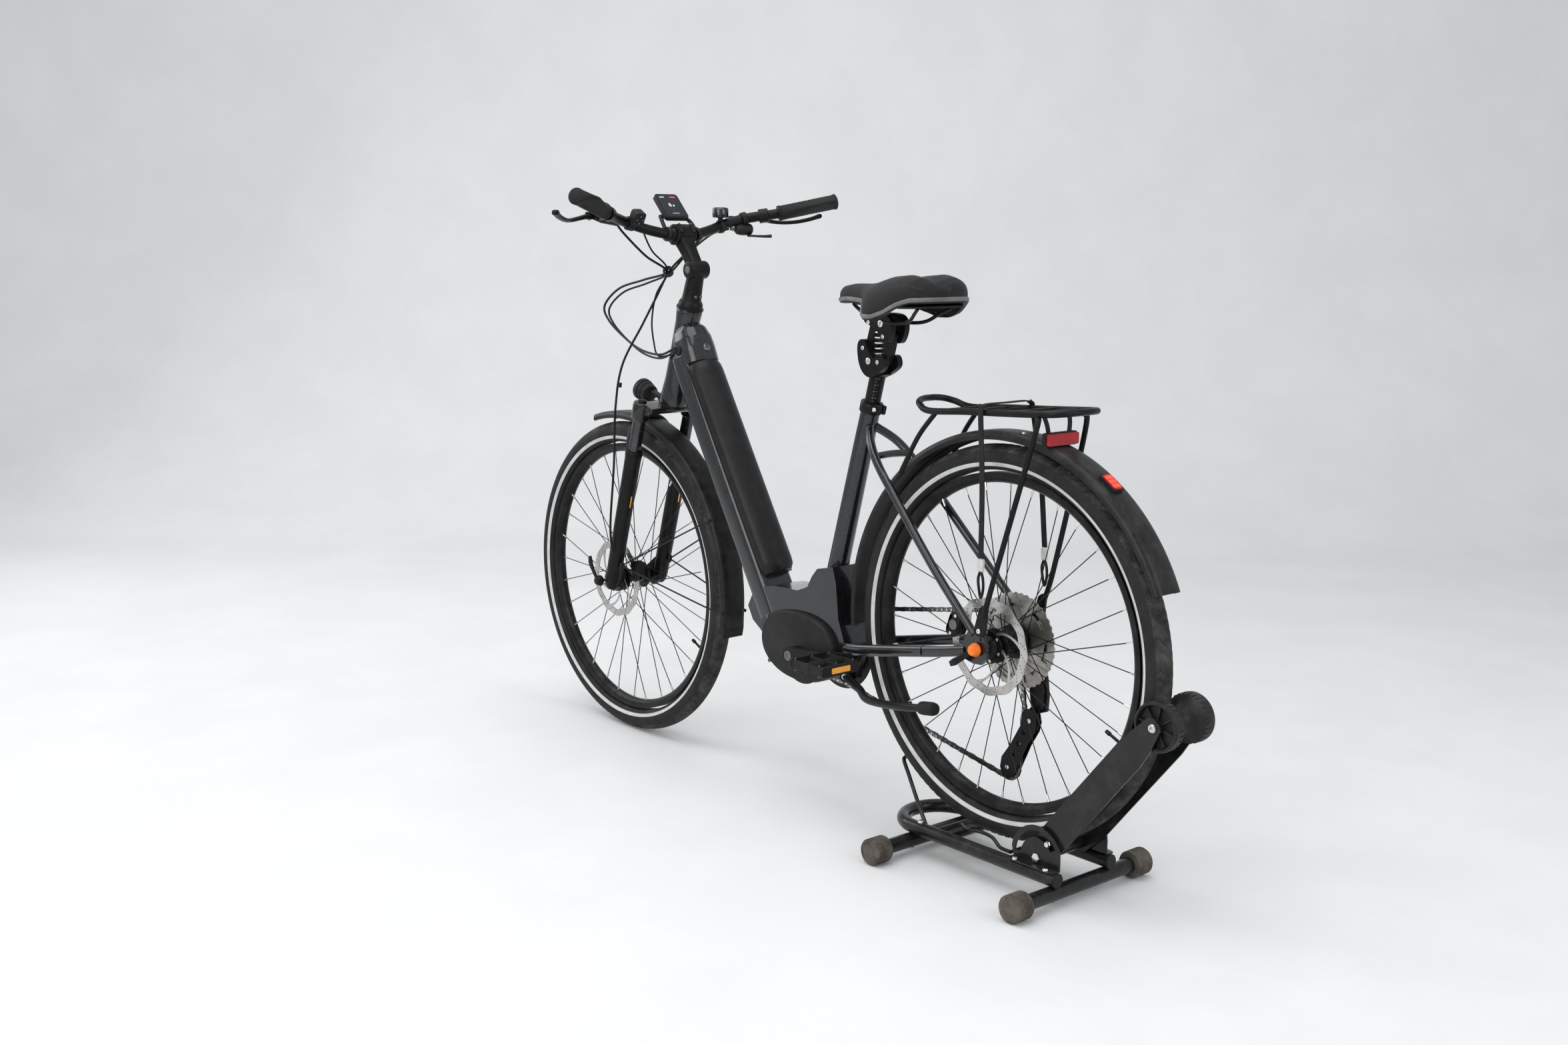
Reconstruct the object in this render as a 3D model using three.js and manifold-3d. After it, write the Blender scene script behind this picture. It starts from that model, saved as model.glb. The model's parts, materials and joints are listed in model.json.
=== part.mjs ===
// A step-through electric touring bicycle with its rear wheel held in a low floor stand.
// Millimetres. +X is forward, +Y is the rider's left and +Z is up. Inside the model, x = 0 is the
// rear hub's axis, y = 0 the bicycle's middle plane and z = 0 the floor. The exported group is
// moved so that its origin lies on the floor under the middle of the whole object.
import * as THREE from 'three';
import { mergeVertices } from 'three/addons/utils/BufferGeometryUtils.js';
import Module from 'manifold-3d';

const wasm = await Module();
wasm.setup();

// ---- driving dimensions -------------------------------------------------------------------
const MIDDLE_X = 558; // from the rear hub to the middle of the whole length
const GAP = 0.3; // left between pieces that touch

const TYRE_RADIUS = 361; // 50-622 tyre
const TYRE_SECTION = 25; // half the tyre's width
const BEAD_RADIUS = 311;
const RIM_INNER_RADIUS = 291;
const WHEEL_STEPS = 40;
const SPOKES = 12;
const ROTOR_RADIUS = 90;
const ROTOR_Y = 43; // middle of the brake rotor, left of the middle plane

const REAR_HUB = new THREE.Vector3(0, 0, 424.7);
const FRONT_HUB = new THREE.Vector3(1167, 0, 361);
const CRANK_AXIS = new THREE.Vector3(500, 0, 316);
const CRANK_LENGTH = 172.5;
const CRANK_ANGLE = 171.5; // degrees, of the left crank above the forward direction
const CHAINRING_RADIUS = 76;
const CHAINLINE_Y = -54;

const HEAD_LOW = new THREE.Vector3(1000, 0, 778); // where the steering axis leaves the head tube
const HEAD_LENGTH = 220;
const HEAD_LEAN = Math.atan2(62, 211); // steering axis from the vertical
const LEG_Y = 67.5;
const LEG_FORWARD = 23.5; // fork legs ahead of the steering axis
const STANCHION_RADIUS = 14;

const SEAT_CLAMP = new THREE.Vector3(361, 0, 823);
const POST_RADIUS = 15.4;
const BAR_RADIUS = 11.1;
const BAR_CLAMP = new THREE.Vector3(965, 0, 1146);
const GRIP_INNER = new THREE.Vector3(920, 232, 1193);
const GRIP_OUTER = new THREE.Vector3(851, 347, 1221);

const FOOT_RADIUS = 25;
const CROSS_TUBE_RADIUS = 14;
const BASE_TUBE_RADIUS = 13;
const BASE_TUBE_Z = FOOT_RADIUS + CROSS_TUBE_RADIUS + BASE_TUBE_RADIUS + GAP;
const BASE_HALF_WIDTH = 72;
const ARM_PIVOT = new THREE.Vector3(-144, 0, 77);
const ARM_ROLLER = new THREE.Vector3(-374, 0, 364);
const ARM_Y = 56; // middle of each arm plate
const ROLLER_HALF = 53;

// ---- helpers --------------------------------------------------------------------------------
const at = (x, y, z) => new THREE.Vector3(x, y, z);
const flat = (p) => [p.x, p.z]; // a point's place in the side view
const model = new THREE.Group();
model.position.x = -MIDDLE_X;

// A closed geometry as a solid. Its faces are turned outward if they face inward.
function solid(piece) {
  if (!piece.isBufferGeometry) return piece;
  const bare = piece.clone();
  bare.deleteAttribute('normal');
  bare.deleteAttribute('uv');
  const merged = mergeVertices(bare, 1e-4);
  const points = merged.attributes.position.array;
  const corners = Uint32Array.from(merged.index.array);
  const a = at(0, 0, 0);
  const b = at(0, 0, 0);
  const c = at(0, 0, 0);
  let volume = 0;
  for (let i = 0; i < corners.length; i += 3) {
    a.fromArray(points, corners[i] * 3);
    b.fromArray(points, corners[i + 1] * 3);
    c.fromArray(points, corners[i + 2] * 3);
    volume += a.dot(b.cross(c));
  }
  if (volume < 0) {
    for (let i = 0; i < corners.length; i += 3) {
      [corners[i], corners[i + 1]] = [corners[i + 1], corners[i]];
    }
  }
  return new wasm.Manifold(
    new wasm.Mesh({ numProp: 3, vertProperties: points, triVerts: corners })
  );
}

const join = (...pieces) => pieces.map(solid).reduce((whole, next) => whole.add(next));
const cut = (body, ...tools) => tools.map(solid).reduce((rest, tool) => rest.subtract(tool), solid(body));

function geometry(manifold) {
  const mesh = manifold.getMesh();
  const result = new THREE.BufferGeometry();
  result.setAttribute('position', new THREE.BufferAttribute(mesh.vertProperties, 3));
  result.setIndex(new THREE.BufferAttribute(mesh.triVerts, 1));
  result.computeVertexNormals();
  return result;
}

// Each finish is a colour, a roughness and a metalness.
const FINISH = {
  paint: [0x17181a, 0.25, 0.4],
  black: [0x121213, 0.45, 0.2],
  plastic: [0x161616, 0.6, 0],
  rubber: [0x1b1b1c, 0.85, 0],
  steel: [0x8d8f92, 0.35, 1],
  screen: [0x0a0b0c, 0.1, 0],
};

function add(name, piece, finish) {
  const [color, roughness, metalness] = FINISH[finish];
  const shape = geometry(solid(piece));
  const mesh = new THREE.Mesh(shape, new THREE.MeshStandardMaterial({ color, roughness, metalness }));
  mesh.name = name;
  model.add(mesh);
}

// A round bar from one point to another.
function rod(from, to, radius, sides = 10, endRadius = radius) {
  const along = to.clone().sub(from);
  const shape = new THREE.CylinderGeometry(endRadius, radius, along.length(), sides);
  const turn = new THREE.Quaternion().setFromUnitVectors(at(0, 1, 0), along.clone().normalize());
  shape.applyQuaternion(turn);
  return shape.translate(...from.clone().add(to).multiplyScalar(0.5).toArray());
}

// A round bar across the bicycle, centred on a point of the side view.
const crossRod = (x, z, low, high, radius, sides = 10) => rod(at(x, low, z), at(x, high, z), radius, sides);

// A round tube along a smooth curve through points.
function tube(points, radius, sides = 8, steps = 20) {
  const section = new THREE.Shape();
  for (let i = 0; i < sides; i += 1) {
    const angle = (2 * Math.PI * i) / sides;
    const x = radius * Math.cos(angle);
    const y = radius * Math.sin(angle);
    if (i === 0) section.moveTo(x, y);
    else section.lineTo(x, y);
  }
  section.closePath();
  const path = new THREE.CatmullRomCurve3(points, false, 'centripetal');
  return new THREE.ExtrudeGeometry(section, { steps, extrudePath: path, bevelEnabled: false });
}

// A plate lying in the side view: an outline of [x, z] corners, thick from y = low to y = high.
function slab(outline, low, high, bevel = 0) {
  const shape = new THREE.Shape(outline.map(([x, z]) => new THREE.Vector2(x, z)));
  const settings = { depth: high - low - 2 * bevel, bevelEnabled: bevel > 0, bevelThickness: bevel };
  Object.assign(settings, { bevelSize: bevel, bevelOffset: -bevel, bevelSegments: 1 });
  const plate = new THREE.ExtrudeGeometry(shape, settings);
  return plate.rotateX(Math.PI / 2).translate(0, high - bevel, 0);
}

const both = (make) => join(make(1), make(-1));
const mirrored = (points, side) => points.map((p) => at(p.x, p.y * side, p.z));

// A turned piece about an axle across the bicycle, from [radius, y] corners of a closed profile.
function turned(profile, centre, steps = WHEEL_STEPS) {
  const points = [...profile, profile[0]].map(([r, y]) => new THREE.Vector2(r, y));
  return new THREE.LatheGeometry(points, steps).translate(centre.x, centre.y, centre.z);
}

const disc = (radius, bore, low, high, centre, steps = 32) =>
  turned([[bore, low], [radius, low], [radius, high], [bore, high]], centre, steps);

const polar = (centre, radius, degrees, y = 0) =>
  at(
    centre.x + radius * Math.cos(THREE.MathUtils.degToRad(degrees)),
    y,
    centre.z + radius * Math.sin(THREE.MathUtils.degToRad(degrees))
  );

// The pie slice of the side view between two directions, to trim turned pieces with.
function slice(centre, from, to, radius = 460) {
  const outline = [[centre.x, centre.z]];
  const steps = 12;
  for (let i = 0; i <= steps; i += 1) {
    outline.push(flat(polar(centre, radius, from + ((to - from) * i) / steps)));
  }
  return slab(outline, -60, 60);
}

const box = (low, high) => {
  const size = high.clone().sub(low);
  const middle = high.clone().add(low).multiplyScalar(0.5);
  return new THREE.BoxGeometry(size.x, size.y, size.z).translate(middle.x, middle.y, middle.z);
};

// ---- floor stand ----------------------------------------------------------------------------
const REAR_CROSS_X = -186;
const FRONT_CROSS_X = 158;
const CROSS_HALF = 182;

function crossTube(x) {
  const bar = crossRod(x, FOOT_RADIUS, -CROSS_HALF + 30, CROSS_HALF - 30, CROSS_TUBE_RADIUS);
  // A rubber foot is a prism whose lowest flat side rests on the floor.
  const foot = (side) => {
    const outline = [];
    const corner = FOOT_RADIUS / Math.cos(THREE.MathUtils.degToRad(9));
    for (let degrees = 9; degrees < 360; degrees += 18) {
      outline.push(flat(polar(at(x, 0, FOOT_RADIUS), corner, degrees)));
    }
    const ends = [side * (CROSS_HALF - 40), side * CROSS_HALF];
    return slab(outline, Math.min(...ends), Math.max(...ends));
  };
  return join(bar, foot(1), foot(-1));
}
add('stand_rear_tube', crossTube(REAR_CROSS_X), 'black');
add('stand_front_tube', crossTube(FRONT_CROSS_X), 'black');

function standBase() {
  const bend = BASE_HALF_WIDTH;
  const nose = 150;
  const points = [at(-202, bend, BASE_TUBE_Z), at(-100, bend, BASE_TUBE_Z), at(40, bend, BASE_TUBE_Z)];
  for (let degrees = 90; degrees >= -90; degrees -= 22.5) {
    const angle = THREE.MathUtils.degToRad(degrees);
    points.push(at(nose + bend * Math.cos(angle), bend * Math.sin(angle), BASE_TUBE_Z));
  }
  points.push(...[40, -100, -202].map((x) => at(x, -bend, BASE_TUBE_Z)));
  const loop = tube(points, BASE_TUBE_RADIUS, 8, 26);
  const rungs = [69, 103].map((x) => crossRod(x, BASE_TUBE_Z, -bend, bend, 7, 8));
  return join(loop, ...rungs);
}

// Each bracket bolts to the long tube and has an arc slot round the arm's pivot.
const BRACKET_Y = 62;
const STOP_RADIUS = 42.6; // from the arm's pivot to its stop bolt, which runs in the slot
const STOP_ANGLE = 129.3;
const SLOT_END = 150;
function bracket(side) {
  const outline = [[-196, 64], [-92, 64], [-90, 90]];
  for (let degrees = 15; degrees <= 150; degrees += 15) {
    outline.push(flat(polar(ARM_PIVOT, 58, degrees)));
  }
  outline.push([-196, 95]);
  const low = side > 0 ? BRACKET_Y : -BRACKET_Y - 3;
  const plate = slab(outline, low, low + 3);
  const flangeLow = side > 0 ? BRACKET_Y : -84;
  const flange = box(at(-196, flangeLow, 64), at(-92, flangeLow + 84 - BRACKET_Y, 68));
  const slot = [];
  for (let degrees = 0; degrees <= SLOT_END; degrees += SLOT_END / 5) {
    slot.push(flat(polar(ARM_PIVOT, STOP_RADIUS + 7, degrees)));
  }
  for (let degrees = SLOT_END; degrees >= 0; degrees -= SLOT_END / 5) {
    slot.push(flat(polar(ARM_PIVOT, STOP_RADIUS - 7, degrees)));
  }
  const bore = crossRod(ARM_PIVOT.x, ARM_PIVOT.z, -90, 90, 6.4);
  return cut(join(plate, flange), slab(slot, -90, 90), bore);
}

// Two waved wires joined at the front cradle the tyre's lowest part.
function cradle() {
  const path = [at(90, 8, 59), at(60, 24, 61), at(20, 33, 70), at(-12, 35, 69), at(-34, 37, 57), at(-60, 38, 56)];
  const wire = (side) => tube(mirrored(path, side), 3.5, 6, 16);
  const tail = crossRod(-60, 56, -38, 38, 3.5, 6);
  return join(wire(1), wire(-1), tail);
}

// A thin upright hoop in front of the tyre keeps the wheel from rolling forward.
function hoop() {
  const path = [at(126, 66, 60), at(190, 36, 108), at(246, 8, 150)];
  const leg = (side) => tube(mirrored(path, side), 4, 6, 6);
  return join(leg(1), leg(-1), crossRod(246, 150, -16, 16, 4, 6));
}
add('stand_base', join(standBase(), bracket(1), bracket(-1), cradle(), hoop()), 'black');

const pivotBolt = join(
  crossRod(ARM_PIVOT.x, ARM_PIVOT.z, -70, 70, 6),
  crossRod(ARM_PIVOT.x, ARM_PIVOT.z, 65.4, 71, 8.5, 6),
  crossRod(ARM_PIVOT.x, ARM_PIVOT.z, -71, -65.4, 8.5, 6)
);
add('stand_pivot_bolt', pivotBolt, 'steel');

function armPlate(side) {
  const along = ARM_ROLLER.clone().sub(ARM_PIVOT).normalize();
  const across = at(along.z, 0, -along.x);
  const corner = (origin, s, t) => {
    const p = origin.clone().addScaledVector(along, s).addScaledVector(across, t);
    return [p.x, p.z];
  };
  const outline = [
    corner(ARM_PIVOT, -18, -16), corner(ARM_PIVOT, -18, 16), corner(ARM_PIVOT, 40, 30),
    corner(ARM_ROLLER, -60, 26), corner(ARM_ROLLER, 12, 18), corner(ARM_ROLLER, 12, -12),
    corner(ARM_ROLLER, -60, -26), corner(ARM_PIVOT, 40, -22),
  ];
  const low = side > 0 ? ARM_Y - 1.5 : -ARM_Y - 1.5;
  return slab(outline, low, low + 3);
}
function arm() {
  const stop = polar(ARM_PIVOT, STOP_RADIUS, STOP_ANGLE);
  const sleeve = crossRod(ARM_PIVOT.x, ARM_PIVOT.z, -ARM_Y, ARM_Y, 10);
  const axle = crossRod(ARM_ROLLER.x, ARM_ROLLER.z, -ARM_Y - 6, ARM_Y + 6, 5);
  const stops = (side) => crossRod(stop.x, stop.z, side * ARM_Y, side * (BRACKET_Y + 12), 4.6);
  const body = join(armPlate(1), armPlate(-1), sleeve, axle, stops(1), stops(-1));
  return cut(body, crossRod(ARM_PIVOT.x, ARM_PIVOT.z, -90, 90, 6.4));
}
add('stand_arm', arm(), 'black');

// The roller's waist follows the tyre's section.
function roller() {
  const half = ROLLER_HALF;
  const profile = [[5.4, -half], [42, -half], [43, -half + 5], [41, -36]];
  const reach = Math.hypot(ARM_ROLLER.x, ARM_ROLLER.z - REAR_HUB.z) - (TYRE_RADIUS - TYRE_SECTION);
  for (let y = -24; y <= 24; y += 8) {
    profile.push([reach - Math.sqrt((TYRE_SECTION + 1) ** 2 - y * y), y]);
  }
  profile.push([41, 36], [43, half - 5], [42, half], [5.4, half]);
  return turned(profile, ARM_ROLLER, 18);
}
add('stand_roller', roller(), 'plastic');

// ---- wheels -----------------------------------------------------------------------------------
function wheel(prefix, hub, hubProfile, flangeY) {
  const tyre = [];
  const sectionCentre = TYRE_RADIUS - TYRE_SECTION;
  for (let degrees = -144; degrees <= 144; degrees += 36) {
    const angle = THREE.MathUtils.degToRad(degrees);
    const r = Math.max(BEAD_RADIUS, sectionCentre + TYRE_SECTION * Math.cos(angle));
    tyre.push([r, TYRE_SECTION * Math.sin(angle)]);
  }
  add(`${prefix}_tyre`, turned(tyre, hub), 'rubber');
  const bed = BEAD_RADIUS - GAP - 0.2;
  const rim = [[bed, -12], [bed, 12], [300, 12.5], [RIM_INNER_RADIUS, 7], [RIM_INNER_RADIUS, -7], [300, -12.5]];
  add(`${prefix}_rim`, turned(rim, hub), 'black');
  const pieces = [turned(hubProfile, hub, 16)];
  for (let i = 0; i < SPOKES; i += 1) {
    const side = i % 2 ? 1 : -1;
    const lead = Math.floor(i / 2) % 2 ? 1 : -1;
    const rimAngle = (360 * i) / SPOKES;
    const outer = polar(hub, RIM_INNER_RADIUS - 1.2, rimAngle, side * 2);
    const inner = polar(hub, 25, rimAngle + lead * 62, side > 0 ? flangeY[0] : flangeY[1]);
    pieces.push(rod(inner, outer, 1.5, 3));
  }
  add(`${prefix}_hub`, join(...pieces), 'black');
  const low = ROTOR_Y - 1;
  add(`${prefix}_rotor`, disc(ROTOR_RADIUS, 20.8, low, low + 2, hub, 24), 'steel');
}

const frontHubProfile = [
  [6.4, -49.7], [12, -49.7], [12, -32], [29, -32], [29, -27], [16, -24], [16, 20], [29, 23], [29, 28],
  [20, 30], [20, 46], [12, 46], [12, 49.7], [6.4, 49.7],
];
wheel('front', FRONT_HUB, frontHubProfile, [25.5, -29.5]);
const rearHubProfile = [
  [6.4, -66], [16, -66], [16, -27], [30, -25], [30, -20], [17, -17], [17, 22], [30, 25], [30, 30],
  [20, 32], [20, 47], [13, 47], [13, 66], [6.4, 66],
];
wheel('rear', REAR_HUB, rearHubProfile, [27.5, -22.5]);

// The sprockets get smaller towards the outside.
function cassette() {
  const outside = -60;
  const pitch = 6.4;
  const radii = [28, 44, 60, 76, 90];
  const profile = [[16.6, outside]];
  radii.forEach((radius, i) => {
    profile.push([radius, outside + i * pitch], [radius, outside + (i + 1) * pitch]);
  });
  profile.push([16.6, outside + radii.length * pitch]);
  return turned(profile, REAR_HUB, 20);
}
add('cassette', cassette(), 'steel');

// ---- main frame -----------------------------------------------------------------------------
const headAxis = at(-Math.sin(HEAD_LEAN), 0, Math.cos(HEAD_LEAN));
const headForward = at(Math.cos(HEAD_LEAN), 0, Math.sin(HEAD_LEAN));
// A point of the steering frame: up the axis from the head tube's foot, ahead of it, and aside.
const steer = (up, ahead = 0, y = 0) =>
  HEAD_LOW.clone().addScaledVector(headAxis, up).addScaledVector(headForward, ahead).add(at(0, y, 0));

const seatAxis = SEAT_CLAMP.clone().sub(CRANK_AXIS).normalize();
const post = (up, y = 0) => SEAT_CLAMP.clone().addScaledVector(seatAxis, up).add(at(0, y, 0));

// The down tube's own frame: up along the tube from a point of its underside, and out of its top.
const DOWN_LOW = at(656, 0, 365);
const downAxis = at(0.52, 0, 0.854).normalize();
const downTop = at(-downAxis.z, 0, downAxis.x);
const down = (up, out) => DOWN_LOW.clone().addScaledVector(downAxis, up).addScaledVector(downTop, out);
const DOWN_DEPTH = 56;
const DOWN_HALF_WIDTH = 42;
const COVER_FOOT = 60;
const COVER_HEAD = 560;

const motorOutline = [
  [436, 384], [408, 352], [402, 318], [418, 282], [458, 258], [520, 252], [580, 262], [624, 292],
  [636, 330], [622, 366], [590, 392], [500, 400],
];

// The left stays' middle lines. The right ones mirror them.
const CHAINSTAY = [
  at(392, 34, 344), at(366, 48, 349), at(300, 60, 362), at(200, 70, 382), at(100, 73, 401), at(34, 72, 415),
];
const SEATSTAY = [
  at(354, 10, 782), at(325, 34, 758), at(290, 48, 722), at(240, 55, 672), at(120, 66, 552), at(12, 72, 453),
];
const seatstay = (side, radius) => tube(mirrored(SEATSTAY, side), radius, 6, 10);

function mainFrame() {
  const head = rod(steer(0), steer(HEAD_LENGTH), 32, 20, 27);
  const tubeOutline = [down(-20, 0), down(300, 0), down(470, 4), down(600, 22), down(640, 50), down(655, 90)];
  tubeOutline.push(down(600, 92), down(COVER_HEAD + 12, 92), down(COVER_HEAD + 2, DOWN_DEPTH));
  tubeOutline.push(down(COVER_FOOT, DOWN_DEPTH), down(-20, DOWN_DEPTH + 6));
  const downTube = slab(tubeOutline.map(flat), -DOWN_HALF_WIDTH, DOWN_HALF_WIDTH, 10);
  const seatTube = rod(post(-470), post(8), 22, 20, 17.6);
  const shellOutline = [
    [382, 332], [404, 330], [640, 330], [690, 380], [668, 414], [610, 436], [520, 436], [486, 470], [420, 500],
    [406, 400], [392, 366],
  ];
  const shell = slab(shellOutline, -40, 40, 8);
  const chainstay = (side) => tube(mirrored(CHAINSTAY, side), 10.5, 8, 8);
  const dropout = (side) => {
    const outline = [[40, 404], [34, 438], [8, 460], [-18, 446], [-20, 404], [0, 396]];
    return side > 0 ? slab(outline, 66.5, 74.5) : slab(outline, -74.5, -66.5);
  };
  const bridge = crossRod(303, 735, -44, 44, 7, 10);
  const stays = both((side) => join(chainstay(side), seatstay(side, 8.5), dropout(side)));
  const standMount = slab([[330, 298], [366, 290], [372, 340], [330, 352]], 40, 56);
  const whole = join(head, downTube, seatTube, shell, stays, bridge, standMount);
  const channelOutline = [down(90, 14), down(COVER_HEAD - 12, 14), down(COVER_HEAD - 12, 70), down(90, 70)];
  const channel = slab(channelOutline.map(flat), -33, 33);
  const motorRoom = slab(motorOutline, -58, 58);
  const grownMotor = new THREE.Box3().setFromBufferAttribute(motorRoom.attributes.position);
  const middle = grownMotor.getCenter(at(0, 0, 0));
  motorRoom.translate(-middle.x, 0, -middle.z).scale(1.006, 1, 1.006).translate(middle.x, 0, middle.z);
  const headBore = rod(steer(-10), steer(HEAD_LENGTH + 10), 18.8, 16);
  const postBore = rod(post(-330), post(20), POST_RADIUS + 0.5, 16);
  const axleBore = crossRod(REAR_HUB.x, REAR_HUB.z, -90, 90, 6.4);
  const lockBore = rod(down(COVER_HEAD + 20, 60), down(COVER_HEAD + 20, 110), 9.4, 16);
  return cut(whole, channel, motorRoom, headBore, postBore, axleBore, lockBore);
}
add('main_frame', mainFrame(), 'paint');

const motor = cut(slab(motorOutline, -44, 54, 6), crossRod(CRANK_AXIS.x, CRANK_AXIS.z, -90, 90, 12.4, 20));
add('motor_unit', motor, 'plastic');

const batteryOutline = [down(92, 15), down(COVER_HEAD - 17, 15), down(COVER_HEAD - 17, 55.5), down(92, 55.5)];
add('battery_pack', slab(batteryOutline.map(flat), -32, 32, 3), 'plastic');

// The battery's cover is a long half-round shell on top of the down tube.
function batteryCover() {
  const section = new THREE.Shape();
  section.moveTo(-41, 0);
  section.lineTo(-41, 8);
  section.absellipse(0, 8, 41, 28, Math.PI, 0, true);
  section.lineTo(41, 0);
  section.closePath();
  const depth = COVER_HEAD - COVER_FOOT - 6;
  const shell = new THREE.ExtrudeGeometry(section, { depth, bevelEnabled: false, curveSegments: 14 });
  const basis = new THREE.Matrix4().makeBasis(at(0, 1, 0), downTop, at(0, 1, 0).cross(downTop));
  return shell.applyMatrix4(basis.setPosition(down(COVER_FOOT + 4, DOWN_DEPTH + GAP)));
}
add('battery_cover', batteryCover(), 'plastic');
add('battery_lock', rod(down(COVER_HEAD + 20, 62), down(COVER_HEAD + 20, 95), 9, 16), 'steel');

// ---- cranks, pedals and chain ----------------------------------------------------------------
function crank(side) {
  const angle = side > 0 ? CRANK_ANGLE : CRANK_ANGLE + 180;
  const end = polar(CRANK_AXIS, CRANK_LENGTH, angle);
  const direction = end.clone().sub(CRANK_AXIS).normalize();
  const across = at(-direction.z, 0, direction.x);
  const corner = (origin, s, t) => flat(origin.clone().addScaledVector(direction, s).addScaledVector(across, t));
  const outline = [
    corner(CRANK_AXIS, -16, -12), corner(CRANK_AXIS, -8, -18), corner(CRANK_AXIS, 8, -18),
    corner(end, -14, -12), corner(end, 10, -11), corner(end, 14, 0), corner(end, 10, 11), corner(end, -14, 12),
    corner(CRANK_AXIS, 8, 18), corner(CRANK_AXIS, -8, 18), corner(CRANK_AXIS, -16, 12),
  ];
  const low = side > 0 ? 76 : -90;
  const blade = slab(outline, low, low + 14, 3);
  const boss = crossRod(CRANK_AXIS.x, CRANK_AXIS.z, side * 60, side * 88, 17, 14);
  return cut(join(blade, boss), crossRod(end.x, end.z, -110, 110, 7.4));
}
const spindle = crossRod(CRANK_AXIS.x, CRANK_AXIS.z, -80, 70, 12, 20);
add('crank_left', cut(crank(1), crossRod(CRANK_AXIS.x, CRANK_AXIS.z, 0, 71, 12.3, 20)), 'black');
const chainring = disc(CHAINRING_RADIUS, 10, CHAINLINE_Y - 1.5, CHAINLINE_Y + 1.5, CRANK_AXIS, 28);
add('crank_right', join(crank(-1), spindle, chainring), 'black');

function pedal(side) {
  const centre = polar(CRANK_AXIS, CRANK_LENGTH, side > 0 ? CRANK_ANGLE : CRANK_ANGLE + 180);
  const start = side * 77;
  const axle = crossRod(centre.x, centre.z, start, side * 190, 7);
  const near = Math.min(side * 96, side * 192);
  const section = [[-50, -8], [-44, -13], [44, -13], [50, -8], [50, 8], [44, 13], [-44, 13], [-50, 8]];
  const body = slab(section.map(([x, z]) => [centre.x + x, centre.z + z]), near, near + 96, 3);
  const windows = [-26, 26].map((x) =>
    box(at(centre.x + x - 13, near + 14, centre.z - 20), at(centre.x + x + 13, near + 82, centre.z + 20))
  );
  return join(axle, cut(body, ...windows));
}
add('pedal_left', pedal(1), 'plastic');
add('pedal_right', pedal(-1), 'plastic');

// The chain as a flat band round the chainring, one sprocket and the two pulleys.
const UPPER_PULLEY = at(-21, -50, 275);
const LOWER_PULLEY = at(29, -50, 175);
const PULLEY_RADIUS = 21;
const SPROCKET_RADIUS = 52;
const CHAIN_HALF = 3.4;
function wrap(circles) {
  const outline = [];
  circles.forEach(([centre, radius, from, to]) => {
    const steps = Math.max(2, Math.ceil(Math.abs(to - from) / 30));
    for (let i = 0; i <= steps; i += 1) {
      outline.push(flat(polar(centre, radius, from + ((to - from) * i) / steps)));
    }
  });
  return outline;
}
const chainPath = [
  ...wrap([[CRANK_AXIS, CHAINRING_RADIUS + 6, 92, -98]]),
  ...wrap([[LOWER_PULLEY, PULLEY_RADIUS + 6, -80, -190]]),
  ...wrap([[UPPER_PULLEY, PULLEY_RADIUS + 6, -18, 40]]),
  ...wrap([[REAR_HUB, SPROCKET_RADIUS + 6, 282, 92]]),
];
function chainBand() {
  const points = chainPath.map(([x, z]) => at(x, CHAINLINE_Y, z));
  const links = points.map((p, i) => {
    const next = points[(i + 1) % points.length];
    const along = next.clone().sub(p);
    const shape = new THREE.BoxGeometry(6, 2 * CHAIN_HALF, along.length() + 3);
    const turn = new THREE.Quaternion().setFromUnitVectors(at(0, 0, 1), along.clone().normalize());
    shape.applyQuaternion(turn);
    return shape.translate(...p.clone().add(next).multiplyScalar(0.5).toArray());
  });
  return join(...links);
}
add('chain', chainBand(), 'steel');

function pulley(centre) {
  return disc(PULLEY_RADIUS, 3.4, CHAINLINE_Y - 1.5, CHAINLINE_Y + 1.5, at(centre.x, 0, centre.z), 20);
}
add('upper_pulley', pulley(UPPER_PULLEY), 'plastic');
add('lower_pulley', pulley(LOWER_PULLEY), 'plastic');

// The cage plates hold both pulleys and swing about the upper one.
function cage() {
  const outline = [[-34, 296], [-4, 296], [8, 262], [44, 196], [46, 162], [22, 154], [8, 176]];
  outline.push([-20, 232], [-36, 262]);
  const plates = [CHAINLINE_Y + 6, CHAINLINE_Y - 8].map((low) => slab(outline, low, low + 2));
  const pin = (p) => crossRod(p.x, p.z, CHAINLINE_Y - 7, CHAINLINE_Y + 7, 3, 10);
  return join(...plates, pin(UPPER_PULLEY), pin(LOWER_PULLEY));
}
add('derailleur_cage', cage(), 'black');

function derailleur() {
  const knuckle = crossRod(-14, 372, -84, -68, 13, 14);
  const arm = slab([[-30, 380], [0, 384], [4, 330], [-6, 286], [-36, 286], [-38, 330]], -82, -64);
  const hanger = slab([[-22, 400], [6, 404], [4, 372], [-24, 366]], -74, -66.5);
  const dropoutRoom = slab([[-20, 460], [-20, 403.7], [0, 395.7], [40, 403.7], [40, 460]], -90, -60);
  return cut(join(knuckle, arm, hanger), dropoutRoom);
}
add('derailleur_body', derailleur(), 'black');

function quickRelease(hub, half, leverAngle, length) {
  const skewer = crossRod(hub.x, hub.z, -half, half, 6);
  const head = crossRod(hub.x, hub.z, half, half + 14, 12);
  const tip = polar(hub, length, leverAngle, half + 12);
  const lever = tube([at(hub.x, half + 8, hub.z), polar(hub, length * 0.5, leverAngle, half + 13), tip], 5, 8, 8);
  return join(skewer, head, lever);
}
add('rear_quick_release', quickRelease(REAR_HUB, 76, -38, 62), 'black');

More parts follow.
